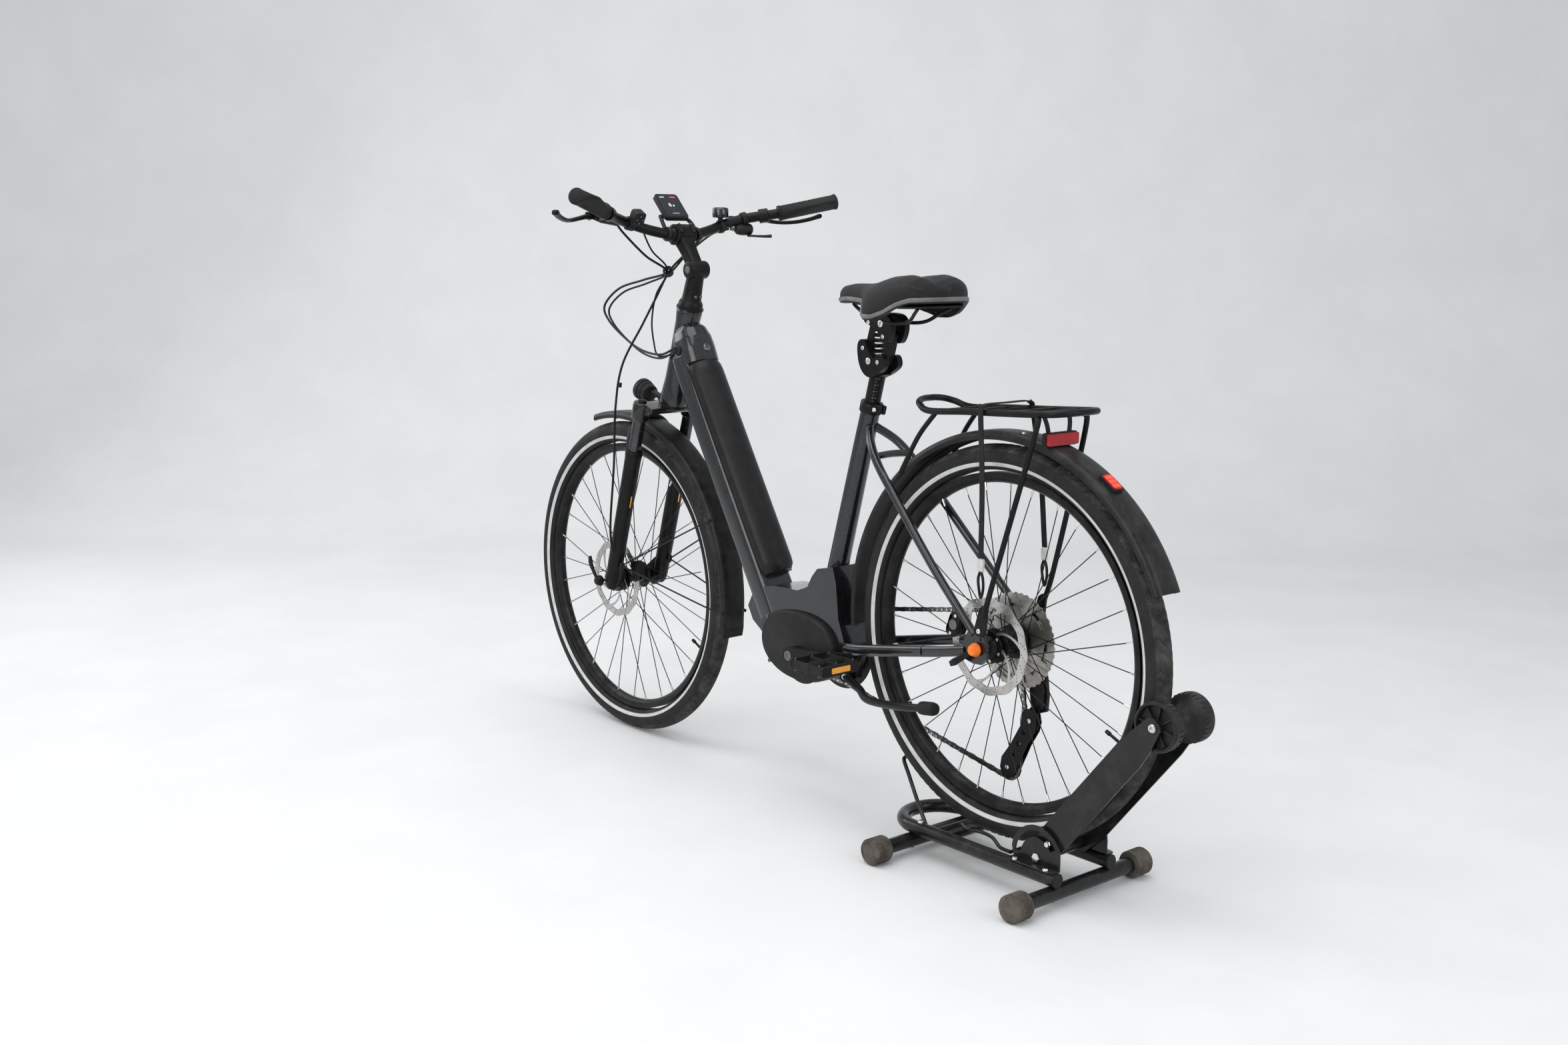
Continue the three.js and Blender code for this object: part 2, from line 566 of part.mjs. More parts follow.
// ---- rear carrier, mudguards, kickstand ---------------------------------------------------------
const MUDGUARD_RADIUS = 386;
function mudguard(hub, from, to) {
  const inner = MUDGUARD_RADIUS - 2.5;
  const profile = [
    [372, -31.5], [372, -29.5], [inner - 4, -26], [inner, -14], [inner, 14], [inner - 4, 26], [372, 29.5],
    [372, 31.5], [MUDGUARD_RADIUS - 3, 28], [MUDGUARD_RADIUS, 15], [MUDGUARD_RADIUS, -15], [MUDGUARD_RADIUS - 3, -28],
  ];
  return solid(turned(profile, hub, 40)).intersect(solid(slice(hub, from, to)));
}
const tailLamp = box(at(-246, -26, 716), at(-196, 26, 768));
const rearGuard = join(
  mudguard(REAR_HUB, -5, 157),
  cut(tailLamp, turned([[1, -59], [384, -59], [384, 59], [1, 59]], REAR_HUB, 40))
);
add('rear_mudguard', rearGuard, 'plastic');

function carrier() {
  const hoopPath = [
    at(205, 0, 866), at(200, 24, 864), at(184, 46, 850), at(150, 56, 838), at(60, 58, 842), at(-90, 60, 850),
    at(-146, 52, 854), at(-162, 24, 856), at(-164, 0, 856),
  ];
  const rail = (side) => tube(mirrored(hoopPath, side), 6, 6, 18);
  const legPath = [at(-112, 59, 850), at(-108, 68, 800), at(-40, 79, 560), at(-16, 78, 484)];
  const footOutline = [[-26, 502], [-6, 502], [4, 464], [-6, 450], [-22, 462]];
  const legs = (side) =>
    join(
      tube(mirrored(legPath, side), 5, 6, 8),
      slab(footOutline, side > 0 ? 75 : -80, side > 0 ? 80 : -75)
    );
  const cross = [[120, 838], [10, 845], [-100, 851]].map(([x, z]) => crossRod(x, z, -58, 58, 4, 6));
  const strut = (side) => tube(mirrored([at(130, 56, 838), at(170, 60, 790), at(212, 62, 720)], side), 5, 6, 5);
  return join(both(rail), both(legs), both(strut), ...cross);
}
const stayRoom = both((side) => seatstay(side, 9.4));
add('rear_carrier', cut(carrier(), stayRoom), 'black');

// The folded kickstand passes inside the crank's and the pedal's sweep. Its pivot leans outward, so
// that the leg swings out as it comes down.
const KICKSTAND_PIVOT = at(352, 66, 300);
const kickstandAxis = at(0.232, -0.955, -0.184).normalize();
const kickstand = join(
  rod(
    KICKSTAND_PIVOT.clone().addScaledVector(kickstandAxis, -6),
    KICKSTAND_PIVOT.clone().addScaledVector(kickstandAxis, 6),
    12,
    16
  ),
  tube([KICKSTAND_PIVOT, at(314, 66, 283), at(268, 84, 274), at(160, 107, 290), at(72, 118, 308)], 8, 8, 10),
  rod(at(96, 116, 304), at(54, 120, 311), 13, 10)
);
add('kickstand', kickstand, 'black');

function caliper(hub, angle, outward) {
  const middle = polar(hub, ROTOR_RADIUS - 8, angle);
  const body = box(at(middle.x - 26, ROTOR_Y - 14, middle.z - 15), at(middle.x + 26, ROTOR_Y + outward, middle.z + 15));
  return cut(body, disc(ROTOR_RADIUS + 3, 5, ROTOR_Y - 2, ROTOR_Y + 2, hub, 24));
}
add('rear_caliper', caliper(REAR_HUB, 20, 14), 'black');

// ---- fork and front end -----------------------------------------------------------------------
function forkCrown() {
  const round = (side, low, high, radius) =>
    rod(steer(high, LEG_FORWARD, side * LEG_Y), steer(low, LEG_FORWARD, side * LEG_Y), radius, 14);
  const leg = (side) => join(round(side, -290, -8, STANCHION_RADIUS), round(side, -44, -2, 19));
  const outline = [steer(-1.5, -24), steer(-1.5, 30), steer(-8, 42), steer(-17, 42), steer(-17, -24)].map(flat);
  const plate = slab(outline, -76, 76, 4);
  const steererTop = HEAD_LENGTH + 14;
  const steerer = rod(steer(-10), steer(steererTop), 18, 16);
  const armOutline = [steer(-14, 38), steer(-14, 46), steer(-7, 46), steer(-3, 84), steer(2, 84), steer(-2, 38)];
  return join(plate, leg(1), leg(-1), steerer, slab(armOutline.map(flat), -9, 9));
}
add('fork_crown', forkCrown(), 'paint');

// The arch over the tyre that joins the fork's lower legs.
const halfArch = [steer(-135, 40, LEG_Y), steer(-96, 62, 56), steer(-66, 68, 34)];
const ARCH = [...halfArch, steer(-58, 70), ...mirrored(halfArch, -1).reverse()];

function forkLowers() {
  const leg = (side) => {
    const outer = rod(steer(-455, LEG_FORWARD + 1, side * LEG_Y), steer(-118, LEG_FORWARD, side * LEG_Y), 17, 14, 19.5);
    const end = slab([steer(-468, 52), steer(-428, 56), steer(-400, 34), steer(-400, 12), steer(-466, 12)].map(flat), -5, 5);
    end.translate(0, side * 57, 0);
    return join(outer, end);
  };
  const bores = [1, -1].map((side) =>
    rod(steer(-350, LEG_FORWARD, side * LEG_Y), steer(-100, LEG_FORWARD, side * LEG_Y), STANCHION_RADIUS + 0.7, 14)
  );
  const axle = crossRod(FRONT_HUB.x, FRONT_HUB.z, -90, 90, 6.4);
  return cut(join(leg(1), leg(-1), tube(ARCH, 8, 6, 12)), ...bores, axle);
}
add('fork_lowers', forkLowers(), 'black');

function frontGuard() {
  const shell = mudguard(FRONT_HUB, 74, 188);
  const stay = (side, angle) =>
    rod(steer(-392, -0.5, side * 68), polar(FRONT_HUB, 378, angle, side * 29), 2.2, 6);
  const clip = (side) => rod(steer(-384, -0.5, side * 68), steer(-400, -0.5, side * 68), 5, 8);
  const parts = both((side) => join(stay(side, 152), stay(side, 183), clip(side)));
  return cut(join(shell, parts, rod(steer(-78, 62), steer(-68, 20), 5, 8)), tube(ARCH, 9, 6, 12));
}
add('front_mudguard', frontGuard(), 'plastic');
add('front_quick_release', quickRelease(FRONT_HUB, 85.5, 62, 62), 'black');
add('front_caliper', caliper(FRONT_HUB, 160, 2.6), 'black');

const lamp = rod(steer(-11, 84), steer(-11, 122), 20, 24, 25);
add('headlight', join(lamp, box(steer(-4, 84, -8), steer(2, 92, 8))), 'plastic');

// ---- handlebar and its controls -----------------------------------------------------------------
function stem() {
  const low = HEAD_LENGTH + 1;
  const pivot = steer(HEAD_LENGTH + 86);
  const spacer = rod(steer(low), steer(low + 16), 27, 16, 23);
  const column = rod(steer(low + 15), pivot, 21, 20, 18);
  const barrel = rod(pivot.clone().add(at(0, -22, 0)), pivot.clone().add(at(0, 22, 0)), 19, 20);
  const along = BAR_CLAMP.clone().sub(pivot).normalize();
  const across = at(-along.z, 0, along.x);
  const corner = (origin, s, t) => flat(origin.clone().addScaledVector(along, s).addScaledVector(across, t));
  const armOutline = [corner(pivot, 0, -15), corner(BAR_CLAMP, -8, -18), corner(BAR_CLAMP, -8, 18), corner(pivot, 0, 15)];
  const arm = slab(armOutline, -18, 18, 4);
  const clamp = crossRod(BAR_CLAMP.x, BAR_CLAMP.z, -26, 26, 22, 20);
  const bore = crossRod(BAR_CLAMP.x, BAR_CLAMP.z, -40, 40, 16.2, 20);
  return cut(join(spacer, column, barrel, arm, clamp), bore, rod(steer(0), steer(HEAD_LENGTH + 15), 18.5, 16));
}
add('stem', stem(), 'black');

const barPoints = [
  BAR_CLAMP, at(965, 32, 1146), at(974, 84, 1156), at(980, 132, 1170), at(962, 182, 1183), GRIP_INNER,
  GRIP_INNER.clone().lerp(GRIP_OUTER, 0.5), GRIP_INNER.clone().lerp(GRIP_OUTER, 0.975),
];
const wholeBar = [...mirrored(barPoints.slice(1), -1).reverse(), ...barPoints];
const barSolid = (grow) =>
  join(
    tube(wholeBar, BAR_RADIUS + grow, 8, 30),
    crossRod(BAR_CLAMP.x, BAR_CLAMP.z, -30 - grow, 30 + grow, 15.9 + grow, 20)
  );
add('handlebar', barSolid(0), 'black');

// The bar with room round it, to bore the pieces that clamp it.
const handlebarRoom = () => barSolid(0.5);

function grip(side) {
  const [inner, outer] = mirrored([GRIP_INNER, GRIP_OUTER], side);
  const along = outer.clone().sub(inner).normalize();
  const back = at(0, 0, 1).cross(along).normalize().multiplyScalar(side);
  const start = inner.clone().addScaledVector(along, 2);
  const sleeve = rod(start, outer, 16.5, 16);
  const wing = new THREE.SphereGeometry(1, 10, 6).scale(26, 34, 8);
  const turn = new THREE.Matrix4().makeBasis(back.clone(), along, back.clone().cross(along));
  wing.applyMatrix4(turn);
  const seat = inner.clone().lerp(outer, 0.72).addScaledVector(back, 14);
  wing.translate(seat.x, seat.y, seat.z + 4);
  return cut(join(sleeve, wing), handlebarRoom());
}
add('grip_left', grip(1), 'rubber');
add('grip_right', grip(-1), 'rubber');

// Each brake body clamps the bar; its lever turns on a pin at the body's front.
const LEVER_PIVOT = at(992, 222, 1184);
function brakeBody(side) {
  const ringStart = barPoints[4].clone().lerp(GRIP_INNER, 0.35);
  const ringEnd = barPoints[4].clone().lerp(GRIP_INNER, 0.68);
  const [a, b, pivot] = mirrored([ringStart, ringEnd, LEVER_PIVOT], side);
  const ring = rod(a, b, 16, 16);
  const cylinder = rod(at(998, side * 150, 1172), at(986, side * 214, 1184), 11, 14);
  const neck = rod(a.clone().lerp(b, 0.5), at(988, side * 200, 1182), 8, 12);
  const body = join(ring, cylinder, neck);
  const room = rod(pivot.clone().add(at(0, 0, -20)), pivot.clone().add(at(0, 0, 20)), 9, 16);
  return cut(body, room, handlebarRoom());
}
add('brake_body_left', brakeBody(1), 'black');
add('brake_body_right', brakeBody(-1), 'black');

function brakeLever(side) {
  const [pivot, bend, middle, tip] = mirrored([LEVER_PIVOT, at(984, 256, 1180), at(948, 310, 1186), at(912, 356, 1198)], side);
  const blade = tube([pivot, bend, middle, tip], 5, 8, 14);
  const knuckle = rod(pivot.clone().add(at(0, 0, -8)), pivot.clone().add(at(0, 0, 8)), 8, 14);
  return join(blade, knuckle);
}
add('brake_lever_left', brakeLever(1), 'black');
add('brake_lever_right', brakeLever(-1), 'black');

// The shift pod hangs under the right side of the bar, its thumb lever behind it.
const podSeat = at(966, -176, 1160);
const pod = cut(
  join(
    rod(podSeat.clone().add(at(10, 24, -2)), podSeat.clone().add(at(0, -16, -2)), 13, 14),
    rod(podSeat, at(966, -172, 1181), 8, 10),
    rod(at(968, -166, 1179), at(964, -178, 1182), 15.5, 14)
  ),
  handlebarRoom()
);
add('shifter', pod, 'plastic');
const shiftLever = join(
  rod(at(952, -182, 1142), at(952, -182, 1146), 9, 14),
  tube([at(952, -182, 1144), at(930, -196, 1143), at(912, -206, 1143)], 4, 8, 6)
);
add('shift_lever', shiftLever, 'plastic');

const DISPLAY_TILT = THREE.MathUtils.degToRad(38);
function display() {
  const screen = new THREE.BoxGeometry(66, 88, 11).rotateY(DISPLAY_TILT).translate(1000, 4, 1204);
  const mount = rod(at(1000, 4, 1182), at(1000, 4, 1200), 7, 10);
  const arms = both((side) => rod(at(972, side * 40, 1158), at(1000, side * 32, 1184), 4.5, 8));
  const crosspiece = crossRod(1000, 1184, -34, 34, 4.5, 8);
  return cut(join(screen, mount, arms, crosspiece), handlebarRoom());
}
add('display', display(), 'screen');

const remote = cut(
  join(
    rod(at(980, 118, 1167), at(980, 134, 1170), 15, 14),
    box(at(940, 112, 1166), at(966, 140, 1196)),
    rod(at(953, 126, 1186), at(978, 126, 1172), 7, 10)
  ),
  handlebarRoom()
);
add('remote', remote, 'plastic');

const bellSeat = at(981, -118, 1166);
const bell = cut(
  join(
    rod(bellSeat.clone().add(at(0, -5, -2)), bellSeat.clone().add(at(0, 5, -2)), 15, 14),
    rod(bellSeat, bellSeat.clone().add(at(0, 0, 26)), 6, 10),
    rod(bellSeat.clone().add(at(0, 0, 24)), bellSeat.clone().add(at(0, 0, 34)), 18, 20, 10)
  ),
  handlebarRoom()
);
add('bell', bell, 'black');

// ---- saddle and its sprung post ---------------------------------------------------------------
const LINK_LOW = [at(362, 0, 936), at(321, 0, 911)];
const LINK_HIGH = [at(347, 0, 985), at(307, 0, 960)];

function seatpost() {
  const stick = rod(post(-210), post(66), POST_RADIUS, 16);
  const outline = [[376, 936], [368, 950], [352, 946], [330, 926], [308, 922], [306, 904], [322, 892]];
  outline.push([346, 884], [368, 900]);
  const cheeks = [slab(outline, 12, 24, 2), slab(outline, -24, -12, 2)];
  const root = slab([[352, 902], [330, 898], [322, 886], [346, 876], [364, 894]], -14, 14);
  const pins = LINK_LOW.map((p) => crossRod(p.x, p.z, -22, 22, 3, 10));
  return join(stick, ...cheeks, root, ...pins);
}
add('seatpost', seatpost(), 'black');

function link(low, high, clearance) {
  const eye = (p) => crossRod(p.x, p.z, -10.5, 10.5, 7.5, 14);
  const along = high.clone().sub(low).normalize();
  const across = at(along.z * 5, 0, -along.x * 5);
  const corner = (p, sign) => flat(p.clone().addScaledVector(across, sign));
  const web = slab([corner(low, -1), corner(low, 1), corner(high, 1), corner(high, -1)], -10.5, 10.5);
  const holes = [low, high].map((p, i) => crossRod(p.x, p.z, -30, 30, i ? clearance : 3.4, 12));
  return cut(join(eye(low), eye(high), web), ...holes);
}
add('post_link_front', link(LINK_LOW[0], LINK_HIGH[0], 3.4), 'black');
add('post_link_rear', link(LINK_LOW[1], LINK_HIGH[1], 3.6), 'black');

const SADDLE_NOSE_X = 446;
const SADDLE_TAIL_X = 168;
function saddleFrame() {
  const outline = [[358, 985], [350, 996], [318, 1000], [294, 996], [288, 976], [300, 950], [314, 950]];
  outline.push([330, 968]);
  const cheeks = [slab(outline, 12, 24, 2), slab(outline, -24, -12, 2)];
  const yoke = slab([[322, 984], [318, 998], [294, 994], [290, 980], [304, 974]], -14, 14);
  const pins = LINK_HIGH.map((p) => crossRod(p.x, p.z, -22, 22, 3, 10));
  const railPath = [at(400, 12, 1018), at(372, 16, 1004), at(344, 21, 992), at(270, 22, 986), at(240, 24, 990)];
  railPath.push(at(196, 44, 1016));
  const rail = (side) => tube(mirrored(railPath, side), 3.5, 6, 14);
  const plateOutline = [[404, 1012], [404, 1018], [380, 1020], [380, 1010]];
  const plate = (side) => slab(plateOutline, side > 0 ? 4 : -16, side > 0 ? 16 : -4);
  const shell = box(at(186, -62, 1015), at(404, 62, 1019));
  const nose = slab([[186, 1012], [404, 1012], [404, 1020], [186, 1020]], -22, 22);
  return join(...cheeks, yoke, ...pins, rail(1), rail(-1), plate(1), plate(-1), shell, nose);
}
add('saddle_frame', saddleFrame(), 'plastic');

// The pad's plan has a narrow nose and two round lobes behind.
function saddlePad() {
  const half = [
    [SADDLE_NOSE_X, 0], [440, 18], [420, 26], [370, 34], [320, 54], [280, 82], [240, 100], [205, 104], [180, 88],
    [SADDLE_TAIL_X, 56], [178, 0],
  ];
  const rightHalf = half.slice(1, -1).reverse().map(([x, y]) => [x, -y]);
  const shape = new THREE.Shape([...half, ...rightHalf].map(([x, y]) => new THREE.Vector2(x, y)));
  const settings = { depth: 24, bevelThickness: 14, bevelSize: 16, bevelOffset: -16, bevelSegments: 2 };
  return new THREE.ExtrudeGeometry(shape, settings).translate(0, 0, 1036);
}
add('saddle_pad', saddlePad(), 'rubber');

// ---- hoses and cables ---------------------------------------------------------------------------
// Hoses from the levers meet at a tie ahead of the stem and run into the frame beside the head tube.
const TIE = at(1042, 0, 1130);
const rearHose = [
  at(1004, 146, 1170), at(1018, 120, 1162), at(1044, 60, 1150), TIE, at(1030, 24, 1060), at(992, 46, 990),
  at(962, 48, 930), at(930, 45, 905),
];
add('rear_brake_hose', tube(rearHose, 2.8, 8, 20), 'rubber');
// The front brake's hose crosses ahead of the fork and runs down outside its left leg.
const frontHose = [
  at(1004, -146, 1170), at(1020, -110, 1160), at(1052, -60, 1146), at(1054, -6, 1128), at(1074, 6, 1060),
  at(1066, 40, 960), at(1076, 84, 860), at(1090, 94, 760), at(1092, 98, 640), at(1112, 96, 500), at(1112, 92, 440),
];
add('front_brake_hose', tube(frontHose, 2.8, 8, 26), 'rubber');

export default model;
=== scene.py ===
# %% [markdown]
# # An electric touring bicycle in its floor stand
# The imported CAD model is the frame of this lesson: every length is in metres, +X is forward, +Y is the
# rider's left and +Z is up. We load it first and measure it, because the finished looks may not outgrow it.

# %% Load the frame
import json
import math
import bpy
import numpy as np
from mathutils import Matrix, Vector
from mathutils.geometry import tessellate_polygon


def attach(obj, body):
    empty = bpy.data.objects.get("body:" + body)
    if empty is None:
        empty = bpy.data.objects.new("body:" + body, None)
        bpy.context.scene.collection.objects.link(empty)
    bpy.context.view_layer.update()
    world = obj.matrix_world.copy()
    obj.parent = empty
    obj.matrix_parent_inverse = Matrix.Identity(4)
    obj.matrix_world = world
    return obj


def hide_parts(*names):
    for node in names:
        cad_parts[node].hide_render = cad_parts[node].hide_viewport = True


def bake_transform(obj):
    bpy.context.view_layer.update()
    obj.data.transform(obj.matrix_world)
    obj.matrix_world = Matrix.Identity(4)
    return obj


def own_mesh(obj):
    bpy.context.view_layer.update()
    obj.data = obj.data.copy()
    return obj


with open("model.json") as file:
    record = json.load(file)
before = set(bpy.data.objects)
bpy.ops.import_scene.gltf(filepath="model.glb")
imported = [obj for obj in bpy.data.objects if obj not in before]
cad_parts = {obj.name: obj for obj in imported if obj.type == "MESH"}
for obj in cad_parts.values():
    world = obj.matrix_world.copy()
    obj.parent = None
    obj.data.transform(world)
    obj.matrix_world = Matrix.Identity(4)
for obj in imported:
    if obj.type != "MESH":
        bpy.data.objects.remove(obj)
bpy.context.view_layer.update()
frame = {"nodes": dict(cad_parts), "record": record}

# %% [markdown]
# The rear hub is a handy place to measure from. `at` takes millimetres ahead of the rear hub, to the left
# and above the floor, and gives metres in the model's own frame.

# %% Places on the bicycle
HUB_BACK = 0.558
LEFT = np.array([0, 1.0, 0])


def at(x, y, z):
    """(x, y, z) / 1000, with x counted from the rear hub, which lies HUB_BACK behind the origin."""
    return np.array([x / 1000 - HUB_BACK, y / 1000, z / 1000])


REAR_HUB = at(0, 0, 424.7)
FRONT_HUB = at(1167, 0, 361)
CRANK_AXIS = at(500, 0, 316)
HEAD_LOW = at(1000, 0, 778)
HEAD_LEAN = math.atan2(62, 211)
HEAD_UP = np.array([-math.sin(HEAD_LEAN), 0, math.cos(HEAD_LEAN)])
HEAD_AHEAD = np.array([math.cos(HEAD_LEAN), 0, math.sin(HEAD_LEAN)])
SEAT_CLAMP = at(361, 0, 823)
SEAT_UP = (SEAT_CLAMP - CRANK_AXIS) / np.linalg.norm(SEAT_CLAMP - CRANK_AXIS)
DOWN_LOW = at(656, 0, 365)
DOWN_UP = np.array([0.52, 0, 0.854]) / math.hypot(0.52, 0.854)
DOWN_OUT = np.array([-DOWN_UP[2], 0, DOWN_UP[0]])


def steer(up, ahead=0.0, side=0.0):
    """A point of the steering frame: HEAD_LOW + up along the steering axis + ahead of it + side, in mm."""
    return HEAD_LOW + HEAD_UP * up / 1000 + HEAD_AHEAD * ahead / 1000 + np.array([0, side / 1000, 0])


def post(up, side=0.0):
    """A point up along the seat tube's line from its clamp, in mm."""
    return SEAT_CLAMP + SEAT_UP * up / 1000 + np.array([0, side / 1000, 0])


def down(up, out, side=0.0):
    """A point up along the down tube from its foot and out of its top face, in mm."""
    return DOWN_LOW + DOWN_UP * up / 1000 + DOWN_OUT * out / 1000 + np.array([0, side / 1000, 0])


def round_hub(hub, radius, degrees, side=0.0):
    """hub + radius (cos a, 0, sin a), with a in degrees above straight ahead, moved sideways; in mm."""
    a = math.radians(degrees)
    return hub + np.array([radius * math.cos(a), side, radius * math.sin(a)]) / 1000


def other_side(points):
    """The same points on the rider's right: y becomes -y."""
    return [p * np.array([1, -1, 1]) for p in points]


print("wheelbase", round(float(FRONT_HUB[0] - REAR_HUB[0]), 3), "m")

# %% [markdown]
# The camera stands behind the bicycle on its left, at chest height, and looks slightly down. Its turn comes
# from a yaw, a pitch and a very small roll. A large soft light overhead and two at the sides give even studio
# light, and a pale floor that bends up into a backdrop keeps the background plain.

# %% Camera
CAMERA_AT = Vector((-2.5317, 2.1992, 1.1514))
yaw, pitch, roll = -0.70342, -0.17191, 0.0053
look = Vector((math.cos(pitch) * math.cos(yaw), math.cos(pitch) * math.sin(yaw), math.sin(pitch)))
right = look.cross(Vector((0, 0, 1))).normalized()
over = right.cross(look)
right, over = (math.cos(roll) * right + math.sin(roll) * over, -math.sin(roll) * right + math.cos(roll) * over)
lens = bpy.data.cameras.new("camera")
lens.sensor_width = 36
lens.lens = 38.34
camera = bpy.data.objects.new("camera", lens)
bpy.context.scene.collection.objects.link(camera)
camera.matrix_world = Matrix.Translation(CAMERA_AT) @ Matrix((right, over, -look)).transposed().to_4x4()
bpy.context.scene.camera = camera
print("camera", [round(v, 3) for v in camera.location], "lens", lens.lens, "mm")

# %% Studio
def soft_light(name, place, target, size, power, tint=(1, 1, 1)):
    """A square area light at place, turned to target."""
    data = bpy.data.lights.new(name, "AREA")
    data.shape, data.size, data.energy, data.color = "SQUARE", size, power, tint
    lamp = bpy.data.objects.new(name, data)
    bpy.context.scene.collection.objects.link(lamp)
    lamp.location = place
    lamp.rotation_euler = (Vector(target) - Vector(place)).to_track_quat("-Z", "Y").to_euler()


soft_light("top_light", (0.0, 0.6, 3.6), (0, 0, 0.4), 3.2, 72)
soft_light("left_light", (-0.8, 3.4, 1.9), (0, 0, 0.6), 2.2, 46, (1.0, 0.98, 0.95))
soft_light("back_light", (-3.4, -0.6, 2.0), (0, 0, 0.6), 1.8, 26, (0.95, 0.98, 1.0))
soft_light("front_light", (3.2, 1.2, 2.2), (0.2, 0, 0.6), 2.0, 30)
world = bpy.data.worlds.new("room")
world.use_nodes = True
world.node_tree.nodes["Background"].inputs[0].default_value = (0.86, 0.88, 0.9, 1)
world.node_tree.nodes["Background"].inputs[1].default_value = 0.74
bpy.context.scene.world = world
bpy.context.scene.view_settings.view_transform = "Standard"

# %% [markdown]
# ## Shapes from arrays
# Almost everything on a bicycle is one of four shapes: a tube along a path, a turned piece about an axle, a
# plate cut from an outline, or a sheet over a grid. Each helper works out its points as whole arrays. A
# `Maker` collects such shapes, each with its finish, and turns them into one object.

# %% Collecting shapes into a piece
class Maker:
    """Collects (points, faces, finish) and makes them one mesh object whose origin is the model's origin."""

    def __init__(self, name):
        self.name, self.points, self.faces, self.slots, self.finishes, self.count = name, [], [], [], [], 0

    def add(self, shape, finish):
        points, faces = shape
        if finish not in self.finishes:
            self.finishes.append(finish)
        self.points.append(np.asarray(points, float))
        self.faces.extend([tuple(i + self.count for i in face) for face in faces])
        self.slots.extend([self.finishes.index(finish)] * len(faces))
        self.count += len(points)
        return self

    def done(self, body, *nodes, smooth=35, bevel=0.0, subdivide=0):
        """Makes the object, smooths faces that meet at under `smooth` degrees, and rides it on a body."""
        mesh = bpy.data.meshes.new(self.name)
        mesh.from_pydata(np.concatenate(self.points), [], self.faces)
        mesh.polygons.foreach_set("material_index", np.array(self.slots, np.int32))
        mesh.polygons.foreach_set("use_smooth", np.ones(len(self.faces), bool))
        for finish in self.finishes:
            mesh.materials.append(FINISHES[finish])
        mesh.set_sharp_from_angle(angle=math.radians(smooth))
        mesh.validate()
        piece = bpy.data.objects.new(self.name, mesh)
        bpy.context.scene.collection.objects.link(piece)
        if bevel:
            edge = piece.modifiers.new("edges", "BEVEL")
            edge.width, edge.segments, edge.limit_method, edge.angle_limit = bevel, 2, "ANGLE", math.radians(40)
            edge.harden_normals = False
        if subdivide:
            soft = piece.modifiers.new("smooth", "SUBSURF")
            soft.levels = soft.render_levels = subdivide
        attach(piece, body)
        if nodes:
            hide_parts(*nodes)
        print(self.name, len(self.faces), "faces on", body)
        return piece


# %% Grids, tubes and turned pieces
def grid(P, ring_u=False, ring_v=False, caps=False):
    """Faces over P[u, v, 3]: each cell is the quad (u, v), (u+1, v), (u+1, v+1), (u, v+1). Rings wrap round.
    With caps, the first and last rings of v are closed by one face each."""
    nu, nv = P.shape[:2]
    u, v = np.meshgrid(np.arange(nu if ring_u else nu - 1), np.arange(nv if ring_v else nv - 1), indexing="ij")
    u2, v2 = (u + 1) % nu, (v + 1) % nv
    quads = np.stack([u * nv + v, u2 * nv + v, u2 * nv + v2, u * nv + v2], -1).reshape(-1, 4)
    faces = [tuple(q) for q in quads.tolist()]
    if caps:
        faces.append(tuple(range(nv)))
        faces.append(tuple(range(nu * nv - 1, (nu - 1) * nv - 1, -1)))
    return outward(P.reshape(-1, 3), faces)


def outward(points, faces):
    """Turns every face over if the closed shape's volume, the sum of (a . b x c) / 6, is negative."""
    tri = np.array([(f[0], f[i], f[i + 1]) for f in faces for i in range(1, len(f) - 1)])
    a, b, c = points[tri[:, 0]], points[tri[:, 1]], points[tri[:, 2]]
    if np.einsum("ij,ij->i", a, np.cross(b, c)).sum() < 0:
        faces = [f[::-1] for f in faces]
    return points, faces


def smooth_path(points, steps=8):
    """A Catmull-Rom curve: between p1 and p2 it is half of
    2 p1 + (p2 - p0) t + (2 p0 - 5 p1 + 4 p2 - p3) t^2 + (3 p1 - p0 - 3 p2 + p3) t^3."""
    p = np.asarray(points, float)
    p = np.vstack([2 * p[0] - p[1], p, 2 * p[-1] - p[-2]])
    t = np.linspace(0, 1, steps, endpoint=False)[None, :, None]
    a, b, c, d = p[:-3, None], p[1:-2, None], p[2:-1, None], p[3:, None]
    curve = 0.5 * (2 * b + (c - a) * t + (2 * a - 5 * b + 4 * c - d) * t**2 + (3 * b - a - 3 * c + d) * t**3)
    return np.vstack([curve.reshape(-1, 3), p[-2]])


def along(path, section, scale=None, up=None, caps=True):
    """A section of (across, up) points carried along a path. At each point the section lies in the plane
    across the path; `up` is kept as upright as it can be, and scale[i] grows the section at point i."""
    path, section = np.asarray(path, float), np.asarray(section, float)
    step = np.gradient(path, axis=0)
    step /= np.linalg.norm(step, axis=1, keepdims=True)
    if up is None:
        spread = np.ptp(path, axis=0)
        up = np.eye(3)[int(np.argmin(spread + np.abs(step).mean(0)))]
    side = np.cross(step, np.broadcast_to(up, step.shape))
    side /= np.linalg.norm(side, axis=1, keepdims=True)
    top = np.cross(side, step)
    size = np.ones(len(path)) if scale is None else np.asarray(scale, float)
    P = path[:, None] + size[:, None, None] * (side[:, None] * section[None, :, :1] + top[:, None]
        * section[None, :, 1:])
    return grid(P, ring_v=True, caps=caps)


def ring(radius, sides=20, tall=1.0):
    """A circle of (radius cos a, tall radius sin a)."""
    a = np.linspace(0, 2 * np.pi, sides, endpoint=False)
    return np.stack([radius * np.cos(a), radius * tall * np.sin(a)], 1)


